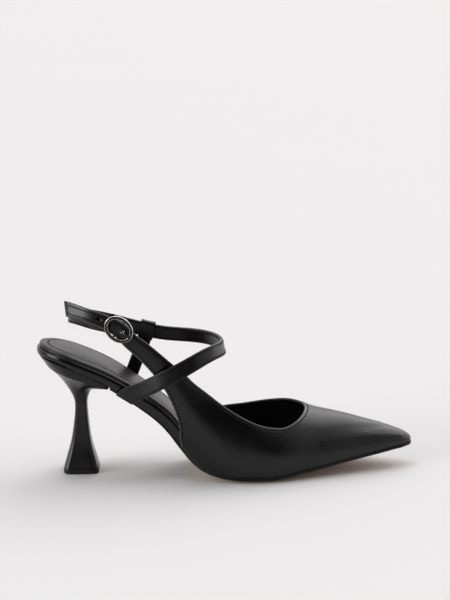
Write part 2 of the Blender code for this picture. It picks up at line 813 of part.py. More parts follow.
def make_buckle_prong(finish):
    """Pin hooked round the bar, up through the strap and down on the ring's front."""
    hook = BAR_RADIUS + GAP + PRONG_RADIUS + 0.1
    path = [(hook * cos(radians(a)), 0, hook * sin(radians(a)) - BAR_DROP) for a in range(-90, 91, 30)]
    path += [(along, 0, out) for along, out in PRONG_PATH]
    prong = tube("buckle_prong", path, PRONG_RADIUS, finish)
    prong.matrix_world = buckle_frame_matrix()
    return prong


for old in list(bpy.data.objects):
    bpy.data.objects.remove(old)

PARTS = bpy.data.collections.new("pump_shoe")
CUTTERS = bpy.data.collections.new("cutters")
bpy.context.scene.collection.children.link(PARTS)
bpy.context.scene.collection.children.link(CUTTERS)

make_outsole(paint("tan_sole", (0.42, 0.27, 0.17), 0.55))
make_heel(paint("heel_leather", (0.012, 0.012, 0.013), 0.38))
make_heel_tip(paint("heel_rubber", (0.02, 0.02, 0.02), 0.7))
make_insole_board(paint("wrap_leather", (0.012, 0.012, 0.013), 0.35))
make_sock_liner(paint("sock_leather", (0.03, 0.03, 0.032), 0.4))
make_upper(paint("upper_leather", (0.012, 0.012, 0.013), 0.38))
make_ankle_strap(paint("strap_leather", (0.012, 0.012, 0.013), 0.38))
make_medial_tab(paint("tab_leather", (0.012, 0.012, 0.013), 0.4))
make_buckle_frame(paint("buckle_metal", (0.05, 0.05, 0.055), 0.2, 1.0))
make_buckle_prong(paint("prong_metal", (0.05, 0.05, 0.055), 0.2, 1.0))
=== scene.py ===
"""Finish of a pointed pump with a flared heel and a crossed ankle strap: leather, thread, metal and studio.

Frame: +X to the toe, -Y to the outer side of the foot, +Z up, origin on the floor under the ball.
Tables and sizes of the shoe are in millimetres, and points become metres where a mesh is made.
"""
from math import asin, cos, pi, radians, sin, sqrt
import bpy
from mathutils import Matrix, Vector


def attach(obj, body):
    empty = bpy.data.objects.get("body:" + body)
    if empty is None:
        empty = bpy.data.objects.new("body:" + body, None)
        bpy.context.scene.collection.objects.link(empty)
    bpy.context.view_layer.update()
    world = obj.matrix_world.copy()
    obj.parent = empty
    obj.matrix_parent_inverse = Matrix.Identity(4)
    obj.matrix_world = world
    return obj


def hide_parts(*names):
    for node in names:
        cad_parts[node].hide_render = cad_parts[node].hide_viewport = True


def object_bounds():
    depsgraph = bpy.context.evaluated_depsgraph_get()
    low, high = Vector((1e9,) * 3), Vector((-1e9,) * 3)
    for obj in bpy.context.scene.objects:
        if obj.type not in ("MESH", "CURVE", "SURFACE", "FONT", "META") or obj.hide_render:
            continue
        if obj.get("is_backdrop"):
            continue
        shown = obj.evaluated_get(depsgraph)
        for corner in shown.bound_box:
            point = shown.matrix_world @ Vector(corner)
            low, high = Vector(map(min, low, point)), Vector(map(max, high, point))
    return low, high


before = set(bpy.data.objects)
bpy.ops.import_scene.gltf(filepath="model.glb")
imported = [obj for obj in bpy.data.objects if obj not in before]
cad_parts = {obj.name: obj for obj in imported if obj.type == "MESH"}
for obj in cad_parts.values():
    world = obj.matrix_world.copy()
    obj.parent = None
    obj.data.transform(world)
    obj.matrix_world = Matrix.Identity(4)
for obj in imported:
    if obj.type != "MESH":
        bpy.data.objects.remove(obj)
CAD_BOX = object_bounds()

from types import SimpleNamespace

import bmesh
import bpy
import numpy as np
from bpy.props import FloatProperty, FloatVectorProperty, PointerProperty
from mathutils import Matrix, Vector
from mathutils.bvhtree import BVHTree
from mathutils.kdtree import KDTree

bl_info = {
    "name": "Pump finish",
    "version": (1, 0, 0),
    "blender": (4, 5, 0),
    "location": "3D View > Sidebar > Pump",
    "description": "Dresses the solids of a pointed pump in leather, thread and metal",
    "category": "Object",
}

MM = 0.001
OUTER, INNER = -1, 1

# Thicknesses and clearances
GAP = 0.3
WALL = 1.7
OUTSOLE = 1.9
SOCK = 1.0
SOCK_INSET = 1.8
STRAP_WIDTH = 9.6
STRAP_FLARE = 1.16
STRAP_TAPER = 0.25
STRAP_THICK = 2.0

# Outline of the insole: heel end, widest heel station, toe tip and the length of the rounded nose
HEEL_END = -136.9
HEEL_WIDEST = -105.0
HEEL_ROUND = 2.2
TIP = 106.6
TIP_REACH = 1.3
NOSE = 8.0
FEATHER = 2.2

# How far the crown draws down round the toe, and the share of its height over which the wall tucks in
TOE_DRAW = 0.65
WALL_TUCK = 0.5

# Heel and outsole
BREAST = -89.9
TOP_PIECE = 2.9

# Fineness of the meshes in steps, and the distances at which points are welded and slivers dissolved
WELD = 0.01
SLIVER = 0.001
ROWS = 40
FRONT_COLUMNS = 72
THROAT_RIBS = 36
RIB_STEPS = 7
RING_STEPS = 150
SPREAD = (0.0, 0.25, 0.5, 0.7, 0.85, 0.94, 1.0)
SOLE_STEPS = 150
SOLE_ACROSS = 24
HEEL_SIDES = 112
HEEL_STEPS = 84
SEAT_RINGS = (0.985, 0.9, 0.7, 0.35, 0.0)
SOLE_CROWDING = 1.5
TOE_CROWDING = 1.7
STRAP_STEPS = 300
STRAP_SEARCH = 400
RING_SIDES = 128
WIRE_SIDES = 20
CURVE_STEPS = 8
CORNER_STEPS = 6
STRIP_CORNER_STEPS = 4
PUNCH_SIDES = 32
LIP_STEPS = 6
PATH_STEP = 0.4

# Small steps to either side of a place from which a direction is taken
RIM_PROBE = 3.0
PATH_PROBE = 0.5
RIB_PROBE = 0.3
TURN_PROBE = 0.02
SEARCH_ROUNDS = 40

# Column of the quarter from which its foot is clear of the sole, and how far cut edges of the wall bulge
FIRST_FREE = THROAT_RIBS + 5 * RIB_STEPS
LIP_BULGE = 0.55

# How far the quarter strap's tail leans in at its end, in degrees, and where the lean starts and is full
TAIL_LEAN = 8.0
TAIL_RUN = (-82.0, -100.0)

# Vamp point and how much the topline slants down as it leaves the throat on each side
VAMP = 38.5
THROAT_SLANT_OUTER = 0.0
THROAT_SLANT_INNER = 0.8

# Buckle: oval ring, bar under the strap, prong and punched holes
BUCKLE_X = -83.2
RING_LONG, RING_SHORT = 8.7, 6.9
RING_BAND, RING_DEPTH = 2.2, 1.6
RING_BEVEL, BEVEL_REACH = 0.62, 0.3
BAR_RADIUS = 0.8
BAR_DROP = 5.5
BAR_REACH = 6.6
BAR_CORNER = 1.2
FOLD_RADIUS = 1.7
FOLD_THICK = 1.2
FOLD_RUN = (2.4, 9.0)
FOLD_TURNS = range(90, 271, 15)
FOLD_SHIFT = 0.5
SKIVE_STEPS = 16
PRONG_RADIUS = 0.55
PRONG_PLAY = 0.1
PRONG_HOOK = range(-90, 91, 30)
PRONG_TIP = (0.25, 0.6, 0.82, 0.94)
PRONG_SLOT = (7.5, 2.6, 5.6)
PRONG_SLOT_MIDDLE = Vector((-0.25, 0.0, -5.7))
HOLE_RADIUS = 1.5
HOLE_STATIONS = (-81.6, -88.9, -96.4)
PUNCH_DEPTH = 6.0
STRAP_RIB = 8.0


class Table:
    """Rows of named columns, joined by natural cubic curves along the first column."""

    def __init__(self, columns, rows):
        self.columns = columns.split()[1:]
        grid = np.array(rows, dtype=float)
        self.keys = grid[:, 0]
        self.values = grid[:, 1:]
        step = np.diff(self.keys)
        system = np.eye(len(self.keys))
        load = np.zeros_like(self.values)
        for i in range(1, len(self.keys) - 1):
            system[i, i - 1:i + 2] = step[i - 1], 2 * (step[i - 1] + step[i]), step[i]
            rise = np.diff(self.values[i - 1:i + 2], axis=0)
            load[i] = 6 * (rise[1] / step[i] - rise[0] / step[i - 1])
        self.bends = np.linalg.solve(system, load)

    def at(self, key):
        key = min(max(key, self.keys[0]), self.keys[-1])
        i = min(max(int(np.searchsorted(self.keys, key)) - 1, 0), len(self.keys) - 2)
        step = self.keys[i + 1] - self.keys[i]
        a = (self.keys[i + 1] - key) / step
        b = 1 - a
        row = a * self.values[i] + b * self.values[i + 1]
        row = row + ((a**3 - a) * self.bends[i] + (b**3 - b) * self.bends[i + 1]) * step**2 / 6
        return SimpleNamespace(**dict(zip(self.columns, row)))


# Side profile: top of the outsole on the centre line, rise to its edge, thickness of the board
PROFILE = Table("x seat rise board", [
    (-138.5, 80.2, 0.0, 4.4),
    (-125.0, 77.0, 0.0, 5.0),
    (-110.0, 71.4, 0.0, 5.2),
    (-95.0, 63.8, 0.2, 5.6),
    (-80.0, 53.8, 0.6, 6.2),
    (-65.0, 42.6, 0.9, 6.5),
    (-52.0, 30.3, 1.2, 6.3),
    (-42.0, 17.3, 1.4, 5.8),
    (-34.0, 8.9, 1.6, 5.0),
    (-24.0, 4.1, 1.8, 4.2),
    (-12.0, 2.0, 2.0, 3.5),
    (2.0, 1.5, 2.1, 3.2),
    (16.0, 1.9, 1.9, 3.0),
    (30.0, 3.9, 1.7, 2.9),
    (50.0, 7.0, 1.4, 2.7),
    (70.0, 9.8, 1.1, 2.5),
    (90.0, 12.8, 0.5, 2.3),
    (110.0, 15.8, 0.0, 2.2),
])

# Plan of the insole: foot axis and half-widths to the outer and inner side
OUTLINE = Table("x axis outer inner", [
    (-105.0, 0.0, 25.8, 24.8),
    (-88.0, 0.0, 24.3, 23.8),
    (-70.0, 0.0, 22.0, 20.5),
    (-55.0, 0.1, 21.0, 18.8),
    (-42.0, 0.3, 23.0, 18.8),
    (-28.0, 0.5, 29.0, 23.5),
    (-12.0, 0.8, 35.3, 30.0),
    (4.0, 1.3, 37.0, 34.0),
    (18.0, 1.7, 35.8, 34.8),
    (35.0, 2.2, 31.0, 31.5),
    (55.0, 2.6, 24.2, 25.0),
    (75.0, 2.9, 16.4, 17.2),
    (92.0, 3.0, 9.6, 10.2),
    (100.0, 3.0, 6.2, 6.4),
    (110.0, 3.0, 2.4, 2.4),
])

# How far the outsole stands out from the insole outline
WELT = Table("x margin", [
    (-95.0, -5.6),
    (-75.0, -5.6),
    (-58.0, -4.4),
    (-44.0, -1.2),
    (-32.0, 1.4),
    (-15.0, 2.1),
    (20.0, 2.1),
    (110.0, 2.4),
])

# The last above the sole: half-widths of the wall, crown height and fullness of the section
LAST = Table("x outer inner crown full", [
    (-120.0, 12.0, 12.0, 182.0, 5.0),
    (-105.0, 24.0, 24.0, 172.0, 5.0),
    (-95.0, 28.0, 26.0, 165.0, 4.8),
    (-83.0, 30.5, 27.0, 153.0, 4.4),
    (-70.0, 32.5, 27.0, 140.0, 4.0),
    (-50.0, 34.1, 27.0, 112.0, 2.9),
    (-32.0, 36.2, 29.0, 84.0, 2.35),
    (-14.0, 38.6, 34.0, 66.5, 2.3),
    (4.0, 41.3, 38.3, 55.5, 2.3),
    (20.0, 39.6, 39.0, 48.8, 2.2),
    (30.0, 36.7, 37.2, 45.0, 2.2),
    (38.5, 33.6, 34.6, 41.3, 2.2),
    (60.0, 25.8, 26.6, 36.0, 2.1),
    (80.0, 18.0, 18.8, 30.6, 2.1),
    (95.0, 12.0, 12.6, 26.2, 2.1),
    (103.0, 8.4, 8.7, 23.3, 2.1),
    (110.0, 5.6, 5.8, 21.2, 2.1),
])

# Ribs of the outer quarter from the throat back to the tail: foot and top of each (foot 0 is the sole)
QUARTER = [
    (12.0, 0.0, 17.0, 34.6),
    (2.0, 0.0, 6.8, 36.8),
    (-9.0, 0.0, -5.2, 42.1),
    (-21.0, 0.0, -17.3, 49.6),
    (-33.0, 0.0, -28.0, 58.1),
    (-43.6, 0.0, -36.5, 65.2),
    (-45.3, 36.0, -42.0, 71.0),
    (-49.0, 49.5, -47.5, 75.8),
    (-55.0, 62.3, -54.0, 81.6),
    (-62.5, 72.7, -61.0, 87.7),
    (-71.0, 82.0, -67.5, 93.0),
    (-79.8, 89.9, -73.2, 97.3),
    (-86.2, 96.8, -80.8, 104.3),
    (-95.2, 101.9, -91.8, 109.4),
    (-106.0, 105.4, -104.0, 113.0),
    (-116.6, 107.0, -118.6, 115.9),
]

# Ribs of the low inner side
INNER_SIDE = [
    (14.0, 0.0, 20.0, 39.0),
    (0.0, 0.0, 2.2, 35.2),
    (-14.0, 0.0, -14.0, 33.7),
    (-26.0, 0.0, -27.0, 29.0),
    (-35.0, 0.0, -37.0, 23.5),
    (-41.5, 0.0, -44.0, 27.0),
]

# Heel from the top piece up to the seat: back and front of each section, half-width, squareness of the
# back and of the breast
HEEL = Table("step back back_z front front_z half square square_front", [
    (0, -120.7, 3.2, -97.9, 3.2, 11.5, 5.6, 5.6),
    (1, -118.2, 12.0, -100.3, 12.0, 10.2, 5.0, 5.0),
    (2, -115.2, 24.0, -103.0, 24.0, 8.6, 4.8, 4.8),
    (3, -113.0, 42.0, -104.7, 42.0, 7.6, 4.4, 4.4),
    (4, -113.9, 50.5, -104.5, 48.8, 8.6, 3.4, 3.5),
    (5, -117.5, 57.2, -102.8, 54.0, 11.5, 2.5, 2.9),
    (6, -124.0, 66.2, -98.4, 57.2, 17.0, 2.3, 3.4),
    (7, -131.0, 73.3, -90.5, 59.0, 23.0, 2.5, 9.0),
])
HEEL_SEAT = SimpleNamespace(back=-136.2, front=-90.2, half=24.8, square_back=2.2, square_front=9.0)

# Ankle strap: middle line from the outer insole edge round to the buckle, and how far its top leans in
ANKLE_PATH = [
    (-70.0, -29.0, 60.4, 1.0),
    (-58.0, -35.2, 67.6, 6.0),
    (-41.0, -36.3, 77.0, 10.0),
    (-27.3, -29.0, 83.0, 13.0),
    (-16.4, -7.0, 83.8, 13.0),
    (-22.2, 13.0, 84.2, 12.0),
    (-34.0, 23.6, 84.4, 10.0),
    (-56.0, 28.0, 85.7, 8.0),
    (-66.0, 28.5, 87.7, 7.0),
    (-91.0, 26.5, 94.7, 3.0),
    (-106.0, 17.0, 99.8, 0.0),
    (-115.4, 0.0, 104.1, 0.0),
    (-108.6, -14.8, 105.3, 0.0),
    (-100.0, -22.2, 104.2, 0.0),
]
ANKLE_FOOT_X = -80.5
ANKLE_FOOT_SKEW = 25.0
ANKLE_FOOT_FADE = 18.0
ANKLE_RISE = Vector((2.4, -1.9, 2.6))
INNER_RUN = 15.0

# The ankle strap's last run to the bar: along the strap below the buckle, across it and out of its face
STRAP_END = [
    (9.0, 4.2, -4.25),
    (4.2, 1.8, -3.85),
]

# Prong from its hook round the bar to the tip on the ring: along the strap and out of its face
PRONG_PATH = [
    (-1.5, -3.1),
    (-2.1, -2.0),
    (-2.8, -0.6),
    (-4.0, 0.5),
    (-6.0, 1.2),
    (-9.2, 1.8),
]

# Tab and loop on the inner side, and the strip ends tucked under the board
TAB_FOOT_X = -78.5
TAB_WIDTH = 8.8
TAB_THICK = 2.2
LOOP_X = -65.6
LOOP_LENGTH = 10.0
LOOP_CLEAR = 0.35
LOOP_WALL = 1.2
LOOP_BITE = 0.6
LOOP_CORNER = 0.75
TUCK = 4.4
TUCK_THICK = 1.4
TUCK_DROP = 0.4
FOOT_SPREAD = 1.12
TAB_SHARES = (0.14, 0.25, 0.4, 0.55, 0.7, 0.85, 1.0)

# Soft troughs and ridges of the upper's outer side: both ends, width, and depth at either end, and how
# many widths away they have faded out
TROUGH_REACH = 3.0
TROUGHS = [
    (41.0, 30.0, 45.5, 20.0, 2.6, 0.05, 0.05),
    (31.0, 27.0, 36.0, 17.0, 4.0, 0.05, 0.05),
    (4.0, 30.5, -10.0, 36.0, 4.5, -0.10, -0.10),
    (44.0, 22.6, 66.0, 23.9, 2.8, 0.0, -0.42),
    (66.0, 23.9, 82.0, 23.2, 2.6, -0.42, -0.60),
    (82.0, 23.2, 101.0, 20.8, 2.4, -0.60, -0.50),
    (50.0, 30.2, 80.0, 28.2, 2.8, 0.0, 0.38),
    (80.0, 28.2, 99.0, 26.0, 2.4, 0.38, 0.40),
]

# Rounded edges of the board, the sock and the top piece: margin and share of the height
BOARD_EDGE = ((-1.5, 0.0), (-0.8, 0.0), (-0.3, 0.07), (0.0, 0.22), (0.12, 0.45), (0.05, 0.7),
              (-0.25, 0.9), (-0.8, 1.0), (-1.5, 1.02))
SOCK_EDGE = ((0.0, 0.0), (0.12, 0.35), (0.0, 0.7), (-0.45, 0.95), (-1.1, 1.0))
TIP_EDGE = ((-0.35, 0.0), (0.05, 0.1), (0.2, 0.25), (0.2, 0.8), (0.0, 0.95), (-0.3, 1.0))

# Trimmed edge of the outsole: margin and share of the depth, and the margin of its tread
SOLE_EDGE = ((0.1, 0.12), (0.14, 0.5), (0.05, 0.85))
SOLE_UNDER = -0.25
TREAD_FACING = -0.8

# Section of the buckle's ring: share of half its band outwards and of half its depth upwards
RING_EDGE = ((1.0, -0.3), (1.0, 0.45), (0.82, 0.86), (0.55, 1.0), (0.0, 1.04), (-0.55, 1.0), (-0.82, 0.86),
             (-1.0, 0.45), (-1.0, -0.3), (-0.7, -0.85), (0.0, -1.0), (0.7, -0.85))

# Section of a strip: rounding of its edges, and where points lie across its faces
STRIP_ROUND = 0.4
STRIP_FLATS = (-0.6, -0.3, 0.0, 0.3, 0.6)

# Crown of the sock, and the power by which it stays level towards its edge
SOCK_CROWN = 1.7
SOCK_LEVEL = 6

# Seams: distance of each row of stitches from the free edge, and how deep the thread lies
UPPER_SEAM = 1.7
STRAP_SEAM = 1.5
SOCK_SEAM = 5.4
STITCH_SINK = 0.2

# Stitches: fineness of one, points of each row that are sewn, how far in from an edge the leather's own
# direction is read, and how far above the leather and the sock a search starts
STITCH_SIDES, STITCH_RINGS = 8, 5
TOP_SEWN, BACK_SEWN, TAIL_SEWN, STRAP_SEWN = slice(2, -2), slice(1, -2), slice(6, -6), slice(4, -20)
SKIN_PROBE = 0.9
SKIN_LIFT = 0.4
SOCK_LIFT = 0.5

# Finishes: scales of the leather's pebbles, pores and waves, how much deeper the waves are than the grain,
# how much glossier the leather is on the rand and the heel, and the names of the shader's constants
PEBBLES, PORES, WAVES = 1150.0, 2600.0, 48.0
WAVE_DEPTH = 14
RAND_GLOSS = 0.10
HEEL_GLOSS = 0.03
SHADER_NAMES = {"specular": "Specular IOR Level", "metallic": "Metallic"}

# Relief in metres: leather beside the seams of the upper and the straps, ribs of the sock's margin and dip
# of its seam. The pitch of the ribs is in millimetres.
UPPER_PUFF = 0.00026
STRAP_PUFF = 0.00020
SOCK_RIB = 1.3
SOCK_RIB_DEPTH = 0.00002
SOCK_DIP = 0.00030

# Height of the leather from its free edge to twice the distance of the seam
SEAM_PROFILE = ((0.0, 0.0), (0.2, 0.42), (0.38, 0.72), (0.46, 0.45), (0.54, 0.45), (0.62, 0.92), (0.8, 1.0),
                (1.0, 1.0))

# Camera found from the photograph: place, heading, tilt, lens and sensor, and how far it sees in metres
CAMERA_AT = (-68.01, -1017.27, 318.79)
CAMERA_HEADING = 3.0
CAMERA_TILT = 11.424
CAMERA_LENS = 96.0
CAMERA_SENSOR = 36.0
CAMERA_REACH = 200.0

# Floor: its radius, and where painted shade dims its colour towards the unlit side of the studio in front
# of the picture, in metres along a slant of so much aside and so much towards the camera
FLOOR_RADIUS = 40000.0
FLOOR_SIDES = 96
FLOOR_PAINTED_SHADE = (0.22, 0.85)
FLOOR_SLANT = (0.6, 0.8)

# Lights of the studio: colour, way to each, and the angles from it at which its glow ends and is full
LIGHT_COLOUR = (1.0, 0.985, 0.983)
LIGHTS = [
    ("camera_side", (0.0, -0.94, 0.34), 56.0, 34.0),
    ("overhead", (0.42, 0.56, 0.71), 38.0, 8.0),
    ("right_box", (0.87, 0.48, 0.10), 26.0, 8.0),
    ("left_box", (-0.88, -0.40, 0.22), 22.0, 8.0),
    ("key", (-0.20, 0.14, 0.97), 14.0, 4.0),
]


def seat(x):
    return PROFILE.at(x).seat


def upright(x):
    """Vertical measure of one unit of thickness on the sloping profile."""
    return sqrt(1 + (seat(x + 0.5) - seat(x - 0.5))**2)


def tread(x, reach):
    """Top of the outsole, reach from 0 on the foot axis to 1 at the insole outline."""
    row = PROFILE.at(x)
    return row.seat + row.rise * reach**3


def edge(x):
    """Lower edge of the upper, just above the outsole."""
    return tread(x, 1) + GAP


def nose(x, margin):
    """1 along the foot, falling to 0 round the tip of the toe."""
    tip = TIP + TIP_REACH * margin
    reach = 1 - (tip - x) / NOSE
    return sqrt(max(0.0, 1 - max(reach, 0.0)**2))


def half_width(x, side, margin=0.0):
    """Half-width of the insole outline grown by a margin, round at the heel and the toe."""
    row = OUTLINE.at(max(x, HEEL_WIDEST))
    width = (row.outer if side == OUTER else row.inner) + margin
    if x < HEEL_WIDEST:
        reach = min((HEEL_WIDEST - x) / (HEEL_WIDEST - HEEL_END + margin), 1.0)
        return width * (1 - reach**HEEL_ROUND)**(1 / HEEL_ROUND)
    return width * nose(x, margin)


def axis(x):
    return OUTLINE.at(x).axis


def reach_of(x, side, off):
    """Share of the insole's half-width that a point lies off the foot axis, at most 1."""
    full = half_width(x, side)
    return min(1.0, off / full) if full > 0.01 else 1.0


def crown(x):
    """Height of the last's section at x, drawn down round the toe."""
    return (LAST.at(x).crown - edge(x)) * (1 - TOE_DRAW + TOE_DRAW * nose(x, FEATHER))


def wall_point(x, side, around):
    """Outer face of the upper: around is 0 at the sole and a quarter turn at the crown."""
    row = LAST.at(x)
    power = 2 / row.full
    lift = sin(around)**power
    wall = (row.outer if side == OUTER else row.inner) * nose(x, FEATHER)
    tuck = (wall - half_width(x, side, FEATHER)) * max(0.0, 1 - lift / WALL_TUCK)**2
    y = wall * max(0.0, cos(around))**power - tuck
    return Vector((x, axis(x) + side * y, edge(x) + crown(x) * lift))


def around_at(x, z):
    """The turn round the last's section at which its wall has height z."""
    lift = min(max((z - edge(x)) / crown(x), 0.0), 1.0)
    return asin(lift**(LAST.at(x).full / 2))


# Meshes

def add_piece(name, bm, finishes, smooth_angle=40.0):
    """Turn a mesh in millimetres into a smooth object at the origin, in metres."""
    bmesh.ops.remove_doubles(bm, verts=bm.verts, dist=WELD)
    bmesh.ops.dissolve_degenerate(bm, edges=bm.edges, dist=SLIVER)
    bmesh.ops.scale(bm, vec=(MM, MM, MM), verts=bm.verts)
    mesh = bpy.data.meshes.new(name)
    bm.to_mesh(mesh)
    bm.free()
    mesh.shade_smooth()
    mesh.set_sharp_from_angle(angle=radians(smooth_angle))
    for finish in finishes:
        mesh.materials.append(finish)
    piece = bpy.data.objects.new(name, mesh)
    bpy.context.scene.collection.objects.link(piece)
    return piece


def hand_over(piece, slot, *nodes):
    """Let a finished piece stand for its solids and take its place on the one body."""
    if nodes:
        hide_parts(*nodes)
    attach(piece, "root")


def loft(bm, loops, closed=False):
    """Closed body through loops of equal count; loops that shrink to a point or line need no cap."""
    rings = [[bm.verts.new(point) for point in loop] for loop in loops]
    count = len(rings[0])
    pairs = list(zip(rings, rings[1:]))
    if closed:
        pairs.append((rings[-1], rings[0]))
    faces = []
    for low, high in pairs:
        for i in range(count):
            j = (i + 1) % count
            faces.append(bm.faces.new((low[i], low[j], high[j], high[i])))
    verts = [v for ring in rings for v in ring]
    bmesh.ops.remove_doubles(bm, verts=verts, dist=WELD)
    live = {v for f in faces if f.is_valid for v in f.verts}
    rim = [e for e in {e for v in live for e in v.link_edges} if e.is_boundary]
    bmesh.ops.holes_fill(bm, edges=rim, sides=0)
    bmesh.ops.recalc_face_normals(bm, faces=list({f for v in live for f in v.link_faces}))


def lofted(name, loops, finish, **shading):
    """One piece through loops of equal count."""
    bm = bmesh.new()
    loft(bm, loops)
    return add_piece(name, bm, [finish], **shading)


def plain_mesh(piece):
    """Replace a piece's mesh by what its modifiers make of it, and drop them."""
    graph = bpy.context.evaluated_depsgraph_get()
    mesh = bpy.data.meshes.new_from_object(piece.evaluated_get(graph))
    piece.modifiers.clear()
    piece.data = mesh


def punch(piece, tools):
    """Cut hidden tool bodies out of a piece."""
    for tool in tools:
        modifier = piece.modifiers.new(tool.name, "BOOLEAN")
        modifier.operation = "DIFFERENCE"
        modifier.object = tool
        modifier.solver = "EXACT"
    plain_mesh(piece)
    for tool in tools:
        bpy.data.objects.remove(tool)


def set_values(piece, name, values):
    """Store one number per vertex for the finishes to read."""
    mesh = piece.data
    layer = mesh.attributes.get(name) or mesh.attributes.new(name, "FLOAT", "POINT")
    layer.data.foreach_set("value", np.asarray(values, dtype=np.float32))


def nearest(points):
    """Search tree over points in millimetres."""
    tree = KDTree(len(points))
    for i, point in enumerate(points):
        tree.insert(point, i)
    tree.balance()
    return tree


def dense(path):
    """The path with points about one path step apart."""
    out = []
    for a, b in zip(path, path[1:]):
        count = max(1, int((b - a).length / PATH_STEP))
        out += [a.lerp(b, i / count) for i in range(count)]
    return out + [path[-1]]


def distances(path):
    """Distance along a path at each of its points."""
    return np.concatenate(([0.0], np.cumsum([(b - a).length for a, b in zip(path, path[1:])])))


def set_edge(piece, *paths):
    """Store each vertex's distance from the nearest of the piece's free edges."""
    rim = nearest(sum((dense(path) for path in paths), []))
    set_values(piece, "edge", [rim.find(v.co / MM)[2] for v in piece.data.vertices])


# Upper

def rib_table(rows):
    """Ribs in the last's own terms: x and turn at the foot and at the top of each."""
    return Table("step low_x low_turn top_x top_turn", [
        (i, low_x, around_at(low_x, low_z), top_x, around_at(top_x, top_z))
        for i, (low_x, low_z, top_x, top_z) in enumerate(rows)
    ])


QUARTER_RIBS = rib_table(QUARTER)


def throat_ribs(end, low_end, slant):
    """Ribs from the vamp point round the throat to where the topline runs back along the foot."""
    end_x, end_z = end
    drop = pi / 2 - around_at(end_x, end_z)
    for i in range(THROAT_RIBS):
        share = i / THROAT_RIBS
        turn = pi / 2 * share
        fall = (1 - slant) * sin(turn) + slant * share
        low_x = VAMP + (low_end - VAMP) * share
        yield low_x, 0.0, end_x + (VAMP - end_x) * cos(turn), pi / 2 - drop * fall


def side_columns(rows, slant, side):
    """Columns of points on the last along one side of the upper, each from the foot to the topline."""
    low_x, _, end_x, end_z = rows[0]
    ribs = list(throat_ribs((end_x, end_z), low_x, slant))
    table = rib_table(rows)
    for i in range(RIB_STEPS * (len(rows) - 1) + 1):
        row = table.at(i / RIB_STEPS)
        ribs.append((row.low_x, max(row.low_turn, 0.0), row.top_x, row.top_turn))
    columns = []
    for low_x, low_turn, top_x, top_turn in ribs:
        column = []
        for r in range(ROWS + 1):
            share = r / ROWS
            x = low_x + (top_x - low_x) * share
            column.append(wall_point(x, side, low_turn + (top_turn - low_turn) * share))
        columns.append([lean_in(point, column) for point in column])
    return columns


def lean_in(point, column):
    """Turn a point of the tail about the middle of its column, so that the tail leans in over the heel."""
    start, full = TAIL_RUN
    share = min(max((start - point.x) / (start - full), 0.0), 1.0)
    if share == 0.0:
        return point
    middle = (column[0] + column[-1]) / 2
    spread = LAST.at(point.x + 1).outer - LAST.at(point.x - 1).outer
    out = Vector((-spread / 2, -1, 0)).normalized()
    turn = radians(TAIL_LEAN) * share**2 * (3 - 2 * share)
    return point - out * (point.z - middle.z) * sin(turn)


def front_columns():
    """Columns from the toe tip back to the vamp point, over the crown from side to side."""
    tip = TIP + TIP_REACH * FEATHER
    turns = [pi / 2 * r / ROWS for r in range(ROWS + 1)]
    columns = []
    for i in range(FRONT_COLUMNS + 1):
        x = tip + (VAMP - tip) * (i / FRONT_COLUMNS)**TOE_CROWDING
        column = [wall_point(x, OUTER, turn) for turn in turns]
        columns.append(column + [wall_point(x, INNER, turn) for turn in turns[-2::-1]])
    return columns


def add_grid(bm, columns):
    verts = [[bm.verts.new(point) for point in column] for column in columns]
    for here, there in zip(verts, verts[1:]):
        for r in range(len(here) - 1):
            bm.faces.new((here[r], here[r + 1], there[r + 1], there[r]))


def press_troughs(bm):
    """Push the soft troughs into the sheet along its normals."""
    bm.normal_update()
    shifts = {}
    for x0, z0, x1, z1, width, first, last in TROUGHS:
        start = wall_point(x0, OUTER, around_at(x0, z0))
        end = wall_point(x1, OUTER, around_at(x1, z1))
        run = end - start
        for v in bm.verts:
            share = min(max((v.co - start).dot(run) / run.length_squared, 0.0), 1.0)
            off = (v.co - start - run * share).length / width
            if off < TROUGH_REACH:
                depth = first + (last - first) * share
                shifts[v] = max(shifts.get(v, 0.0), depth * np.exp(-off**2), key=abs)
    for v, shift in shifts.items():
        v.co -= v.normal * shift


def thicken(bm, wall):
    """Give a sheet its wall: an inner face, and a rounded rim along every free edge."""
    bm.normal_update()
    faces = list(bm.faces)
    away = {}
    rims = []
    for e in [e for e in bm.edges if e.is_boundary]:
        face = e.link_faces[0]
        loop = next(lp for lp in face.loops if lp.edge == e)
        a, b = loop.vert, loop.link_loop_next.vert
        out = (b.co - a.co).cross(face.normal).normalized()
        rims.append((a, b))
        for v in (a, b):
            away[v] = away.get(v, Vector()) + out
    inner = {v: bm.verts.new(v.co - v.normal * wall) for v in list(bm.verts)}
    chains = {}
    for v, out in away.items():
        normal = v.normal.copy()
        out = (out - normal * out.dot(normal)).normalized()
        middle = v.co - normal * wall / 2
        chain = [v]
        for k in range(1, LIP_STEPS):
            turn = pi * k / LIP_STEPS
            bulge = normal * cos(turn) + out * sin(turn) * LIP_BULGE
            chain.append(bm.verts.new(middle + bulge * wall / 2))
        chains[v] = chain + [inner[v]]
    for face in faces:
        bm.faces.new([inner[v] for v in reversed(face.verts)])
    for a, b in rims:
        for k in range(LIP_STEPS):
            bm.faces.new((chains[b][k], chains[a][k], chains[a][k + 1], chains[b][k + 1]))


def strap_middle(step):
    row = QUARTER_RIBS.at(step)
    return wall_point((row.low_x + row.top_x) / 2, OUTER, (row.low_turn + row.top_turn) / 2)


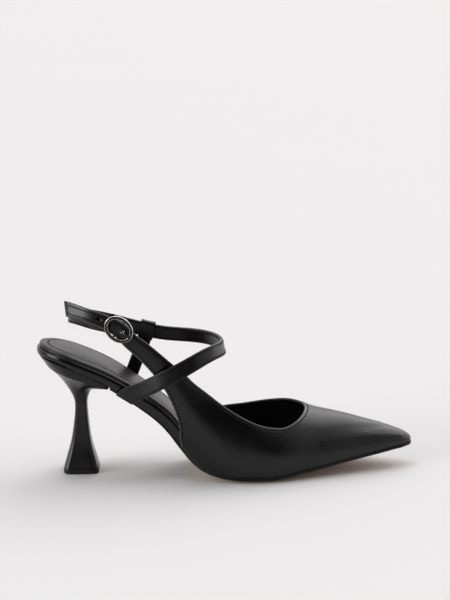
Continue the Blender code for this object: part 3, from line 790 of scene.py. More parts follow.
def strap_frame(x, lift=0.0):
    """Frame on the quarter strap at x: X along it to the tail, Z out of its face."""
    low, high = STRAP_RIB, len(QUARTER) - 1.0
    for _ in range(SEARCH_ROUNDS):
        step = (low + high) / 2
        if strap_middle(step).x > x:
            low = step
        else:
            high = step
    here = strap_middle(step)
    along = (strap_middle(step + RIB_PROBE) - strap_middle(step - RIB_PROBE)).normalized()
    turn = around_at(here.x, here.z)
    up = wall_point(here.x, OUTER, turn + TURN_PROBE) - wall_point(here.x, OUTER, turn - TURN_PROBE)
    out = along.cross(up).normalized()
    if out.y > 0:
        out = -out
    matrix = Matrix((along, out.cross(along), out)).transposed().to_4x4()
    matrix.translation = (here + out * lift) * MM
    return matrix


def upper_sides():
    """Columns of the upper's outer and inner side, from the throat back."""
    outer = side_columns(QUARTER, THROAT_SLANT_OUTER, OUTER)
    return outer, side_columns(INNER_SIDE, THROAT_SLANT_INNER, INNER)


def make_upper(finish):
    """Vamp, quarter strap and inner side: one leather wall on the last, rolled edges, tail punched."""
    outer, inner = upper_sides()
    bm = bmesh.new()
    for columns in (front_columns(), outer, [column[::-1] for column in inner]):
        add_grid(bm, columns)
    bmesh.ops.remove_doubles(bm, verts=bm.verts, dist=WELD)
    bmesh.ops.dissolve_degenerate(bm, edges=bm.edges, dist=SLIVER)
    press_troughs(bm)
    skin = BVHTree.FromBMesh(bm)
    thicken(bm, WALL)
    upper = add_piece("upper_leather", bm, [finish])
    tools = []
    for i, x in enumerate(HOLE_STATIONS):
        hole = bmesh.new()
        bmesh.ops.create_cone(hole, cap_ends=True, segments=PUNCH_SIDES, radius1=HOLE_RADIUS,
                              radius2=HOLE_RADIUS, depth=PUNCH_DEPTH)
        tool = add_piece(f"hole_{i}", hole, [finish])
        tool.matrix_world = strap_frame(x)
        tools.append(tool)
    punch(upper, tools)
    top = [column[-1] for column in outer[::-1] + inner[1:]]
    back = [column[0] for column in outer[FIRST_FREE:]]
    set_edge(upper, top, outer[-1], back, inner[-1])
    depths = [skin.find_nearest(v.co / MM)[3] for v in upper.data.vertices]
    set_values(upper, "lining", [min(depth / WALL, 1.0) for depth in depths])
    return upper


# Sole, board and sock

def outline_ring(margin, k, height):
    """Ring of points round the insole outline, drawn in to k of its width."""
    front = TIP + TIP_REACH * margin
    back = HEEL_END - margin
    ring = []
    for side, turns in ((OUTER, range(RING_STEPS + 1)), (INNER, range(RING_STEPS, -1, -1))):
        for i in turns:
            x = (front + back) / 2 + (front - back) / 2 * cos(pi * i / RING_STEPS)
            off = k * half_width(x, side, margin)
            ring.append(Vector((x, axis(x) + side * off, height(x, reach_of(x, side, off)))))
    return ring


def board_low(x, reach):
    return tread(x, reach) + GAP


def board_top(x, reach):
    return board_low(x, reach) + PROFILE.at(x).board * upright(x)


def board_height(share):
    return lambda x, reach: board_low(x, reach) + share * PROFILE.at(x).board * upright(x)


def sock_height(share):
    def height(x, reach):
        swell = SOCK_CROWN * (1 - reach**SOCK_LEVEL) * share
        return board_top(x, reach) + GAP + (share * SOCK + swell) * upright(x)
    return height


def edge_piece(name, profile, height, inset, finish):
    """Plate on the sole's own profile whose rim follows a rounded profile of margins and heights."""
    low_margin, low_share = profile[0]
    top_margin, top_share = profile[-1]
    loops = [outline_ring(low_margin - inset, k, height(low_share)) for k in SPREAD]
    loops += [outline_ring(margin - inset, 1.0, height(share)) for margin, share in profile[1:-1]]
    loops += [outline_ring(top_margin - inset, k, height(top_share)) for k in reversed(SPREAD)]
    piece = lofted(name, loops, finish, smooth_angle=60.0)
    set_edge(piece, outline_ring(-inset, 1.0, height(top_share)))
    return piece


def make_outsole(edge_finish, tread_finish):
    """Thin sole from the toe to the heel breast: dark trimmed edge and a tan tread, flat at the ball."""
    front = TIP + TIP_REACH * WELT.at(TIP).margin
    loops = []
    for i in range(SOLE_STEPS + 1):
        x = front + (BREAST - front) * (i / SOLE_STEPS)**SOLE_CROWDING
        margin = WELT.at(x).margin
        thick = OUTSOLE * upright(x)

        def spot(k, grow, drop):
            side = OUTER if k < 0 else INNER
            off = abs(k) * max(half_width(x, side, margin) + grow * nose(x, margin), 0.0)
            height = tread(x, reach_of(x, side, off))
            return Vector((x, axis(x) + side * off, max(0.0, height - drop * thick)))

        shares = [2 * j / SOLE_ACROSS - 1 for j in range(SOLE_ACROSS + 1)]
        loop = [spot(k, 0.0, 0.0) for k in shares]
        loop += [spot(1.0, grow, drop) for grow, drop in SOLE_EDGE]
        loop += [spot(k, SOLE_UNDER, 1.0) for k in reversed(shares)]
        loop += [spot(-1.0, grow, drop) for grow, drop in reversed(SOLE_EDGE)]
        loops.append(loop)
    bm = bmesh.new()
    loft(bm, loops)
    bm.normal_update()
    for face in bm.faces:
        face.material_index = 1 if face.normal.z < TREAD_FACING else 0
    return add_piece("sole_leather", bm, [edge_finish, tread_finish])


# Heel

def oval(back, front, half, square_back, square_front, height, scale=1.0):
    """Plan loop of the heel, rounder at the back than at the breast."""
    middle, reach = (back + front) / 2, (front - back) / 2
    loop = []
    for i in range(HEEL_SIDES):
        turn = 2 * pi * i / HEEL_SIDES
        c, s = cos(turn), sin(turn)
        power = 2 / (square_front if c > 0 else square_back)
        x = middle + scale * reach * np.sign(c) * abs(c)**power
        y = scale * half * np.sign(s) * abs(s)**power
        loop.append((x, y, height(x)))
    return loop


def heel_section(row, drop=0.0, grow=0.0):
    def height(x):
        share = (x - row.back) / (row.front - row.back)
        return row.back_z + (row.front_z - row.back_z) * share - drop

    return oval(row.back - grow, row.front + grow, row.half + grow, row.square, row.square_front, height)


def make_heel(finish):
    """Leather-covered heel, flared to the top piece below and to the seat above."""
    last = HEEL.keys[-1]
    loops = [heel_section(HEEL.at(last * i / HEEL_STEPS)) for i in range(HEEL_STEPS + 1)]
    top = HEEL_SEAT
    for scale in SEAT_RINGS:
        loops.append(oval(top.back, top.front, top.half, top.square_back, top.square_front, seat, scale))
    return lofted("heel_leather", loops, finish)


def make_heel_tip(finish):
    """Rubber top piece with a small lip."""
    base = HEEL.at(0)
    loops = [heel_section(base, base.back_z - share * TOP_PIECE, grow) for grow, share in TIP_EDGE]
    return lofted("heel_tip_rubber", loops, finish)


# Straps

def buckle_matrix():
    """Middle of the ring, clear of the strap below it."""
    return strap_frame(BUCKLE_X, RING_DEPTH / 2 + GAP)


def buckle_point(matrix, along, across, out):
    return (matrix @ (Vector((along, across, out)) * MM)) / MM


def strip_section(half_wide, half_thick):
    """Section of a leather strip with round edges."""
    rounding = min(STRIP_ROUND, half_thick * 0.8)
    quarter = []
    for k in range(STRIP_CORNER_STEPS + 1):
        turn = pi / 2 * k / STRIP_CORNER_STEPS
        across = half_wide - rounding + rounding * sin(turn)
        quarter.append((across, half_thick - rounding + rounding * cos(turn)))
    flat = [(half_wide * k, half_thick) for k in STRIP_FLATS]
    top = [(-a, b) for a, b in reversed(quarter)] + flat + quarter
    return top + [(-a, -b) for a, b in top]


def add_ribbon(bm, stations):
    """Strip through stations of a middle point, a half-width and a half-thickness."""
    loops = []
    for middle, wide, thick in stations:
        half_wide, half_thick = wide.length, thick.length
        across, out = wide / half_wide, thick / half_thick
        loops.append([middle + across * a + out * b for a, b in strip_section(half_wide, half_thick)])
    loft(bm, loops)


def tucked_foot(x, side, width, thick):
    """Stations of a strip that comes out from under the board and turns up beside its edge."""
    def rim(at):
        return Vector((at, axis(at) + side * half_width(at, side), board_low(at, 1)))

    along = (rim(x + RIM_PROBE) - rim(x - RIM_PROBE)).normalized() * (-width / 2)
    out = Vector((0, side, 0))
    down = Vector((0, 0, -1))
    corner = rim(x) + out * (GAP + thick / 2) + down * (TUCK_DROP + thick / 2)
    under = corner - out * (TUCK + thick / 2)
    return [(under, along, down * thick / 2), (corner, along, (out + down) * thick / 2)]


def path_stations(points, leans, width, thick, count, skew=0.0, settle=0.0):
    """Stations along a smooth path; skew turns the first end and fades out over settle."""
    reach = distances(points)
    table = Table("reach x y z lean", [(r, *point, lean) for r, point, lean in zip(reach, points, leans)])

    def place(r):
        row = table.at(r)
        return Vector((row.x, row.y, row.z))

    stations = []
    for i in range(count + 1):
        r = reach[-1] * i / count
        ahead = (place(min(r + PATH_PROBE, reach[-1])) - place(max(r - PATH_PROBE, 0.0))).normalized()
        out = ahead.cross(Vector((0, 0, 1))).normalized()
        up = out.cross(ahead)
        lean = radians(table.at(r).lean)
        wide = up * cos(lean) - out * sin(lean)
        face = out * cos(lean) + up * sin(lean)
        turned = skew * max(0.0, 1 - r / settle)**2 if settle else 0.0
        wide = (wide * cos(turned) + ahead * sin(turned)) / cos(turned)
        stations.append((place(r), wide * width / 2, face * thick / 2))
    return stations


def fold_stations(matrix):
    """The strap's skived end turned round the buckle bar and laid back on itself."""
    across = (matrix.to_3x3() @ Vector((0, -1, 0))) * STRAP_WIDTH / 2
    spots = [(FOLD_RUN[0], FOLD_RADIUS, 90.0)]
    spots += [(FOLD_RADIUS * cos(radians(a)), FOLD_RADIUS * sin(radians(a)), a) for a in FOLD_TURNS]
    spots += [(FOLD_RUN[1], -FOLD_RADIUS, 270.0)]
    stations = []
    for along, out, turn in spots:
        middle = buckle_point(matrix, along, FOLD_SHIFT, out - BAR_DROP)
        face = matrix.to_3x3() @ Vector((cos(radians(turn)), 0, sin(radians(turn))))
        stations.append((middle, across, face * FOLD_THICK / 2))
    return stations


def ankle_stations():
    """The ankle strap's own run from the insole edge to the fold at the buckle."""
    foot = tucked_foot(ANKLE_FOOT_X, OUTER, STRAP_WIDTH * STRAP_FLARE * FOOT_SPREAD, TUCK_THICK)
    points = [foot[-1][0] + ANKLE_RISE]
    leans = [0.0]
    for x, y, z, lean in ANKLE_PATH:
        points.append(Vector((x, y, z)))
        leans.append(lean)
    matrix = buckle_matrix()
    for along, across, out in STRAP_END:
        points.append(buckle_point(matrix, along, across, out))
        leans.append(0.0)
    strip = path_stations(points, leans, STRAP_WIDTH, STRAP_THICK, STRAP_STEPS,
                          radians(-ANKLE_FOOT_SKEW), ANKLE_FOOT_FADE)
    for i in range(SKIVE_STEPS):
        middle, wide, face = strip[-1 - i]
        share = 1 - i / SKIVE_STEPS
        strip[-1 - i] = (middle, wide, face * (1 + (FOLD_THICK / STRAP_THICK - 1) * share))
    for i, (middle, wide, face) in enumerate(strip):
        flare = (STRAP_FLARE - 1) * max(0.0, 1 - i / (STRAP_TAPER * STRAP_STEPS))
        strip[i] = (middle, wide * (1 + flare), face)
    return foot, strip, fold_stations(matrix)


def long_edges(stations):
    """The two long edges of a strip."""
    return [[middle + side * wide for middle, wide, _ in stations] for side in (1, -1)]


def make_ankle_strap(finish):
    """One long strip: outer insole edge, instep, inner loop, round the heel, buckle bar."""
    foot, strip, fold = ankle_stations()
    bm = bmesh.new()
    add_ribbon(bm, foot + strip + fold)
    strap = add_piece("ankle_strap_leather", bm, [finish])
    slot = bmesh.new()
    bmesh.ops.create_cube(slot, size=1.0)
    bmesh.ops.scale(slot, vec=PRONG_SLOT, verts=slot.verts)
    tool = add_piece("prong_slot", slot, [finish])
    tool.matrix_world = buckle_matrix() @ Matrix.Translation(PRONG_SLOT_MIDDLE * MM)
    punch(strap, [tool])
    set_edge(strap, *long_edges(foot + strip + fold))
    return strap


def strap_at(x):
    """Middle, width and face direction of the ankle strap where its inner run passes x."""
    points = [Vector(row[:3]) for row in ANKLE_PATH]
    leans = [row[3] for row in ANKLE_PATH]
    runs = [s for s in path_stations(points, leans, 2.0, 2.0, STRAP_SEARCH) if s[0].y > INNER_RUN]
    return min(runs, key=lambda s: abs(s[0].x - x))


def make_medial_tab(finish):
    """Upright tab from the inner insole edge, folded at the top into a loop round the strap."""
    middle, wide, face = strap_at(LOOP_X)
    ahead = wide.cross(face).normalized()
    half_wide = STRAP_WIDTH / 2 + LOOP_CLEAR + LOOP_WALL / 2
    half_thick = STRAP_THICK / 2 + LOOP_CLEAR + LOOP_WALL / 2
    corner = half_thick * LOOP_CORNER
    loops = []
    for quarter, (a, b) in enumerate(((1, 1), (-1, 1), (-1, -1), (1, -1))):
        for k in range(CORNER_STEPS + 1):
            turn = pi / 2 * (quarter + k / CORNER_STEPS)
            out = wide * cos(turn) + face * sin(turn)
            turning = middle + wide * (a * (half_wide - corner)) + face * (b * (half_thick - corner))
            at = turning + out * corner
            section = strip_section(LOOP_LENGTH / 2, LOOP_WALL / 2)
            loops.append([at + ahead * s + out * t for s, t in section])
    bm = bmesh.new()
    loft(bm, loops, closed=True)
    foot = tucked_foot(TAB_FOOT_X, INNER, TAB_WIDTH * FOOT_SPREAD, TUCK_THICK)
    base, low_wide, _ = foot[-1]
    top = middle - wide * (STRAP_WIDTH / 2 + LOOP_CLEAR + LOOP_WALL * LOOP_BITE)
    stations = list(foot)
    for share in TAB_SHARES:
        turned = low_wide.normalized().lerp(ahead, share).normalized()
        stations.append((base.lerp(top, share), turned * TAB_WIDTH / 2, Vector((0, TAB_THICK / 2, 0))))
    add_ribbon(bm, stations)
    tab = add_piece("medial_tab_leather", bm, [finish])
    ends = [(middle + wide * k, ahead * LOOP_LENGTH / 2, face) for k in (half_wide, -half_wide)]
    set_edge(tab, *long_edges(stations[:-1] + ends))
    return tab


# Buckle

def add_tube(bm, points, radii):
    """Round wire through points, with a radius at each."""
    turns = [2 * pi * k / WIRE_SIDES for k in range(WIRE_SIDES)]
    loops = []
    for i, point in enumerate(points):
        before, after = points[max(i - 1, 0)], points[min(i + 1, len(points) - 1)]
        ahead = (after - before).normalized()
        side = ahead.orthogonal().normalized() if i == 0 else (side - ahead * side.dot(ahead)).normalized()
        up = ahead.cross(side)
        loops.append([point + (side * cos(turn) + up * sin(turn)) * radii[i] for turn in turns])
    loft(bm, loops)


def rounded(points):
    """Smooth curve through points."""
    reach = distances(points)
    table = Table("reach x y z", [(r, *point) for r, point in zip(reach, points)])
    count = CURVE_STEPS * (len(points) - 1)
    rows = [table.at(reach[-1] * i / count) for i in range(count + 1)]
    return [Vector((row.x, row.y, row.z)) for row in rows]


def make_buckle_ring(finish):
    """Oval ring with a bevelled face, and the bar slung below it for the strap's folded end."""
    band, depth = RING_BAND / 2, RING_DEPTH / 2
    loops = []
    for i in range(RING_SIDES):
        turn = 2 * pi * i / RING_SIDES
        around = [((RING_LONG + out * band) * cos(turn), (RING_SHORT + out * band) * sin(turn), up * depth)
                  for out, up in RING_EDGE]
        loops.append([Vector(point) for point in around])
    bm = bmesh.new()
    loft(bm, loops, closed=True)
    drop = BAR_DROP - BAR_CORNER
    path = [Vector((0, BAR_REACH, -k * drop)) for k in (0.0, 0.5, 1.0)]
    for k in range(1, CORNER_STEPS + 1):
        turn = pi / 2 * k / CORNER_STEPS
        path.append(Vector((0, BAR_REACH - BAR_CORNER * (1 - cos(turn)), -drop - BAR_CORNER * sin(turn))))
    path += [Vector((0, -v.y, v.z)) for v in reversed(path)]
    add_tube(bm, path, [BAR_RADIUS] * len(path))
    ring = add_piece("buckle_ring_metal", bm, [finish])
    bevel = [abs(v.co.z / MM - RING_BEVEL * depth) < BEVEL_REACH * depth for v in ring.data.vertices]
    set_values(ring, "rim", bevel)
    ring.data.transform(buckle_matrix())
    return ring


def make_buckle_pin(finish):
    """Pin hooked round the bar, up through the strap and down on the ring's front."""
    hook = BAR_RADIUS + GAP + PRONG_RADIUS + PRONG_PLAY
    path = [Vector((hook * cos(radians(a)), 0, hook * sin(radians(a)) - BAR_DROP)) for a in PRONG_HOOK]
    path += [Vector((along, 0, out)) for along, out in PRONG_PATH]
    path = rounded(path)
    radii = [PRONG_RADIUS] * len(path)
    for k, share in enumerate(PRONG_TIP):
        radii[-1 - k] = PRONG_RADIUS * share
    bm = bmesh.new()
    add_tube(bm, path, radii)
    pin = add_piece("buckle_pin_metal", bm, [finish])
    pin.data.transform(buckle_matrix())
    set_values(pin, "rim", [0.0] * len(pin.data.vertices))
    return pin


# Node trees

class NodeMaker:
    """Short way to add and join the nodes of a tree."""

    def __init__(self, tree):
        self.tree = tree

    def fill(self, socket, value):
        """Link a socket to another one, or set it to a value."""
        if isinstance(value, bpy.types.NodeSocket):
            self.tree.links.new(value, socket)
        elif socket.type == "RGBA":
            socket.default_value = (*value[:3], 1.0)
        else:
            socket.default_value = value

    def add(self, kind, inputs=None, **settings):
        node = self.tree.nodes.new(kind)
        for key, value in settings.items():
            setattr(node, key, value)
        for key, value in (inputs or {}).items():
            self.fill(node.inputs[key], value)
        return node

    def math(self, operation, a, b=0.0):
        return self.add("ShaderNodeMath", {0: a, 1: b}, operation=operation).outputs[0]

    def remap(self, value, low, high, to_low, to_high):
        return self.add("ShaderNodeMapRange", {
            "Value": value, "From Min": low, "From Max": high, "To Min": to_low, "To Max": to_high,
        }, interpolation_type="SMOOTHSTEP").outputs["Result"]

    def mix(self, share, a, b):
        """Colour between two others."""
        node = self.add("ShaderNodeMix", {"Factor": share}, data_type="RGBA")
        for socket, value in zip([s for s in node.inputs if s.type == "RGBA"], (a, b)):
            self.fill(socket, value)
        return next(s for s in node.outputs if s.type == "RGBA")

    def mottle(self, share, colour, dark, light):
        """Colour between a darker and a lighter shade of itself."""
        return self.mix(share, *[[min(c * shade, 1.0) for c in colour] for shade in (dark, light)])

    def apart(self, value, place):
        """Distance between two numbers."""
        return self.math("ABSOLUTE", self.math("SUBTRACT", value, place))

    def curve(self, value, stops):
        """A number that follows (place, height) stops in a soft line."""
        node = self.add("ShaderNodeValToRGB", {"Fac": value})
        ramp = node.color_ramp
        ramp.interpolation = "B_SPLINE"
        while len(ramp.elements) < len(stops):
            ramp.elements.new(0.5)
        for element, (place, height) in zip(ramp.elements, stops):
            element.position = place
            element.color = (height, height, height, 1.0)
        return node.outputs["Color"]


class Finish(NodeMaker):
    """New material with patterns in the piece's own coordinates."""

    def __init__(self, name):
        self.material = bpy.data.materials.new(name)
        self.material.use_nodes = True
        super().__init__(self.material.node_tree)
        self.shader = self.tree.nodes["Principled BSDF"]
        self.place = self.add("ShaderNodeTexCoord").outputs["Object"]

    def noise(self, scale, detail=2.0, roughness=0.5, place=None):
        return self.add("ShaderNodeTexNoise", {
            "Vector": self.place if place is None else place, "Scale": scale, "Detail": detail,
            "Roughness": roughness}).outputs["Fac"]

    def value(self, name):
        return self.add("ShaderNodeAttribute", attribute_name=name).outputs["Fac"]

    def grain(self, depth):
        """Fine pebble and slow waves of a smooth leather, in metres."""
        pebble = self.add("ShaderNodeTexVoronoi", {"Vector": self.place, "Scale": PEBBLES})
        fine = self.math("ADD", pebble.outputs["Distance"], self.noise(PORES, 3.0))
        fine = self.math("MULTIPLY", fine, depth)
        wave = self.math("MULTIPLY", self.noise(WAVES, 1.0), WAVE_DEPTH * depth)
        return self.math("ADD", fine, wave)

    def close(self, colour, rough, height=None, **constants):
        """Give the shader its colour, roughness, constants and relief in metres; return the material."""
        sockets = self.shader.inputs
        self.fill(sockets["Base Color"], colour)
        self.fill(sockets["Roughness"], rough)
        for name, value in constants.items():
            sockets[SHADER_NAMES[name]].default_value = value
        if height is not None:
            bump = self.add("ShaderNodeBump", {"Strength": 1.0, "Distance": 1.0, "Height": height})
            self.fill(sockets["Normal"], bump.outputs["Normal"])
        return self.material


# Stitching

def stitch_tree():
    """Node tree that lays stitches along a path whose points know which way is out of the leather."""
    tree = bpy.data.node_groups.new("stitch_rows", "GeometryNodeTree")
    face = tree.interface
    face.new_socket("Path", in_out="INPUT", socket_type="NodeSocketGeometry")
    for name in ("Pitch", "Length", "Thickness"):
        face.new_socket(name, in_out="INPUT", socket_type="NodeSocketFloat")
    face.new_socket("Thread", in_out="INPUT", socket_type="NodeSocketMaterial")
    face.new_socket("Stitches", in_out="OUTPUT", socket_type="NodeSocketGeometry")
    nodes = NodeMaker(tree)
    given = nodes.add("NodeGroupInput").outputs
    curve = nodes.add("GeometryNodeMeshToCurve", {"Mesh": given["Path"]}).outputs["Curve"]
    rows = nodes.add("GeometryNodeCurveToPoints", {"Curve": curve, "Length": given["Pitch"]}, mode="LENGTH")
    out = nodes.add("GeometryNodeInputNamedAttribute", {"Name": "out"}, data_type="FLOAT_VECTOR")
    lie = nodes.add("FunctionNodeAlignRotationToVector", {"Vector": rows.outputs["Tangent"]}, axis="X")
    stand = nodes.add("FunctionNodeAlignRotationToVector",
                      {"Rotation": lie.outputs[0], "Vector": out.outputs["Attribute"]},
                      axis="Z", pivot_axis="X")
    bead = nodes.add("GeometryNodeMeshUVSphere",
                     {"Segments": STITCH_SIDES, "Rings": STITCH_RINGS, "Radius": 0.5})
    size = nodes.add("ShaderNodeCombineXYZ",
                     {"X": given["Length"], "Y": given["Thickness"], "Z": given["Thickness"]})
    stitch = nodes.add("GeometryNodeTransform",
                       {"Geometry": bead.outputs["Mesh"], "Scale": size.outputs[0]})
    placed = nodes.add("GeometryNodeInstanceOnPoints", {
        "Points": rows.outputs["Points"], "Instance": stitch.outputs["Geometry"],
        "Rotation": stand.outputs[0]})
    real = nodes.add("GeometryNodeRealizeInstances", {"Geometry": placed.outputs["Instances"]})
    smooth = nodes.add("GeometryNodeSetShadeSmooth", {"Geometry": real.outputs["Geometry"]})
    sewn = nodes.add("GeometryNodeSetMaterial",
                     {"Geometry": smooth.outputs["Geometry"], "Material": given["Thread"]})
    nodes.add("NodeGroupOutput", {"Stitches": sewn.outputs["Geometry"]})
    return tree


def sew(name, rows, thread, tree, look, slot):
    """Lay stitches along rows of (point, out) pairs, and keep the result as a plain mesh."""
    mesh = bpy.data.meshes.new(name)
    points, outs, links = [], [], []
    for row in rows:
        links += [(len(points) + i, len(points) + i + 1) for i in range(len(row) - 1)]
        points += [point * MM for point, _ in row]
        outs += [out for _, out in row]
    mesh.from_pydata(points, links, [])
    layer = mesh.attributes.new("out", "FLOAT_VECTOR", "POINT")
    layer.data.foreach_set("vector", np.array([tuple(out) for out in outs], dtype=np.float32).ravel())
    piece = bpy.data.objects.new(name, mesh)
    bpy.context.scene.collection.objects.link(piece)
    modifier = piece.modifiers.new("stitch_rows", "NODES")
    modifier.node_group = tree
    sizes = {"Pitch": look.pitch, "Length": look.length, "Thickness": look.thickness, "Thread": thread}
    for item in tree.interface.items_tree:
        if item.in_out == "INPUT" and item.name in sizes:
            modifier[item.identifier] = sizes[item.name]
    plain_mesh(piece)
    hand_over(piece, slot)


def skin_of(name):
    """Search tree over the faces of a piece that is already built."""
    piece = bpy.data.objects.get(name)
    if piece is None:
        raise RuntimeError(f"{name} has to be built before it is sewn")
    points = [v.co / MM for v in piece.data.vertices]
    return BVHTree.FromPolygons(points, [tuple(p.vertices) for p in piece.data.polygons])


def edge_row(skin, path, inward):
    """Row of stitches beside an edge of the upper, found across the edge's own direction on the skin."""
    row = []
    for i, point in enumerate(path):
        ahead = (path[min(i + 1, len(path) - 1)] - path[max(i - 1, 0)]).normalized()
        _, normal, _, _ = skin.find_nearest(point + inward[i] * SKIN_PROBE)
        across = ahead.cross(normal).normalized()
        if across.dot(inward[i]) < 0:
            across = -across
        place, normal, _, _ = skin.find_nearest(point + across * UPPER_SEAM + normal * SKIN_LIFT)
        row.append((place - normal * STITCH_SINK, normal))
    return row


def upper_rows():
    """Rows below the topline, inside the back edge of the quarter strap and across its tail."""
    skin = skin_of("upper_leather")
    outer, inner = upper_sides()
    columns = outer[::-1] + inner[1:]
    top = edge_row(skin, [c[-1] for c in columns], [c[-2] - c[-1] for c in columns])
    free = outer[FIRST_FREE:]
    back = edge_row(skin, [c[0] for c in free], [c[1] - c[0] for c in free])
    ahead = [b - a for a, b in zip(outer[-1], outer[-2])]
    tail = edge_row(skin, outer[-1][TAIL_SEWN], ahead[TAIL_SEWN])
    return [top[TOP_SEWN], back[BACK_SEWN], tail]


def strap_rows():
    """Two rows on each face of the ankle strap."""
    _, strip, _ = ankle_stations()
    rows = []
    for edge_side in (1, -1):
        for face_side in (1, -1):
            row = []
            for middle, wide, thick in strip[STRAP_SEWN]:
                across = wide.normalized() * (wide.length - STRAP_SEAM)
                out = thick.normalized() * face_side
                row.append((middle + across * edge_side + out * (thick.length - STITCH_SINK), out))
            rows.append(row)
    return rows


def sock_rows():
    """One row round the sock, inside its edge."""
    skin = skin_of("sock")
    ring = outline_ring(-SOCK_INSET - SOCK_SEAM, 1.0, sock_height(1.0))
    row = []
    for point in ring + ring[:1]:
        place, normal, _, _ = skin.find_nearest(point + Vector((0, 0, SOCK_LIFT)))
        row.append((place - normal * STITCH_SINK, normal))
    return [row]


# Finishes

def leather(name, look, roughness, seam=0.0, puff=0.0, lining=False):
    """Smooth dark leather: fine grain, a puffed strip between edge and seam, and edge paint lightened into
    a painted highlight.
    """
    finish = Finish(name)
    colour = finish.mottle(finish.noise(30.0, 3.0), look.colour, dark=0.75, light=1.3)
    rough = finish.remap(finish.noise(90.0, 4.0), 0.25, 0.75, roughness - 0.04, roughness + 0.04)
    height = finish.grain(look.grain)
    if seam:
        away = finish.value("edge")
        fold = finish.curve(finish.math("DIVIDE", away, 2 * seam), SEAM_PROFILE)
        height = finish.math("ADD", height, finish.math("MULTIPLY", fold, puff))
        groove = finish.remap(finish.apart(away, seam), 0.1, 0.5, 1.0, 0.0)
        rough = finish.math("ADD", rough, finish.math("MULTIPLY", groove, 0.3))
        # Cut edges lighter than the leather: part edge paint, part painted highlight along the rims
        paint = finish.remap(away, 0.08, 0.28, 1.0, 0.0)
        colour = finish.mix(paint, colour, look.edge_paint_highlight_colour)
        rough = finish.math("SUBTRACT", rough, finish.math("MULTIPLY", paint, 0.08))
    if lining:
        inside = finish.remap(finish.value("lining"), 0.45, 0.7, 0.0, 1.0)
        colour = finish.mix(inside, colour, look.lining_colour)
        rough = finish.math("ADD", rough, finish.math("MULTIPLY", inside, 0.2))
    return finish.close(colour, rough, height, specular=0.38)


def sock_finish(look):
    """Glossy sock leather in clouded shades, with a finely ribbed margin outside its seam."""
    finish = Finish("sock_leather")
    away = finish.value("edge")
    margin = finish.remap(away, SOCK_SEAM - 0.4, SOCK_SEAM + 0.4, 1.0, 0.0)
    cloud = finish.noise(22.0, 3.0)
    colour = finish.mottle(cloud, look.sock_colour, dark=0.6, light=1.4)
    ribs = finish.math("SINE", finish.math("MULTIPLY", away, 2 * pi / SOCK_RIB))
    height = finish.math("MULTIPLY", finish.math("MULTIPLY", ribs, margin), SOCK_RIB_DEPTH)
    height = finish.math("ADD", height, finish.grain(look.grain * 1.4))
    dip = finish.remap(finish.apart(away, SOCK_SEAM), 0.0, 1.2, -SOCK_DIP, 0.0)
    height = finish.math("ADD", height, dip)
    rough = finish.remap(cloud, 0.3, 0.7, 0.28, 0.44)
    return finish.close(colour, rough, height, specular=0.3)


def tread_finish(look):
    """Tan leather tread: mottled fibre and faint scuffs."""
    finish = Finish("tread_leather")
    stretch = finish.add("ShaderNodeMapping", {"Vector": finish.place, "Scale": (0.25, 1.0, 1.0)})
    fibre = finish.noise(900.0, 5.0, 0.65, stretch.outputs["Vector"])
    cloud = finish.noise(35.0, 4.0)
    colour = finish.mottle(cloud, look.tread_colour, dark=0.82, light=1.15)
    scuff = finish.remap(fibre, 0.35, 0.7, 0.0, 0.35)
    colour = finish.mix(scuff, colour, [c * 0.6 for c in look.tread_colour])
    rough = finish.remap(cloud, 0.3, 0.7, 0.42, 0.58)
    return finish.close(colour, rough, finish.math("MULTIPLY", fibre, 0.00003))


def plain_edge(name, colour, roughness, grain, scale):
    """Dark moulded or painted stuff with a fine tooth."""
    finish = Finish(name)
    tooth = finish.noise(scale, 4.0, 0.6)
    colour = finish.mottle(finish.noise(40.0, 3.0), colour, dark=0.7, light=1.4)
    rough = finish.remap(tooth, 0.3, 0.7, roughness - 0.06, roughness + 0.06)
    return finish.close(colour, rough, finish.math("MULTIPLY", tooth, grain), specular=0.2)


def metal_finish(look):
    """Dark plated metal, polished brighter along the ring's bevels."""
    finish = Finish("buckle_metal")
    rim = finish.remap(finish.value("rim"), 0.3, 0.8, 0.0, 1.0)
    swirl = finish.noise(260.0, 3.0)
    colour = finish.mix(rim, finish.mottle(swirl, look.colour, dark=0.8, light=1.25), look.rim_colour)
    rough = finish.remap(swirl, 0.3, 0.7, look.roughness - 0.04, look.roughness + 0.04)
    height = finish.math("MULTIPLY", finish.noise(1500.0), 0.000004)
    return finish.close(colour, rough, height, metallic=1.0)


def thread_finish(look):
    """Waxed thread with a fine twist."""
    finish = Finish("waxed_thread")
    twist = finish.noise(3200.0)
    colour = finish.mottle(twist, look.colour, dark=0.6, light=1.4)
    rough = finish.remap(twist, 0.3, 0.7, 0.7, 0.9)
    return finish.close(colour, rough, finish.math("MULTIPLY", twist, 0.00004), specular=0.08)


# Stage

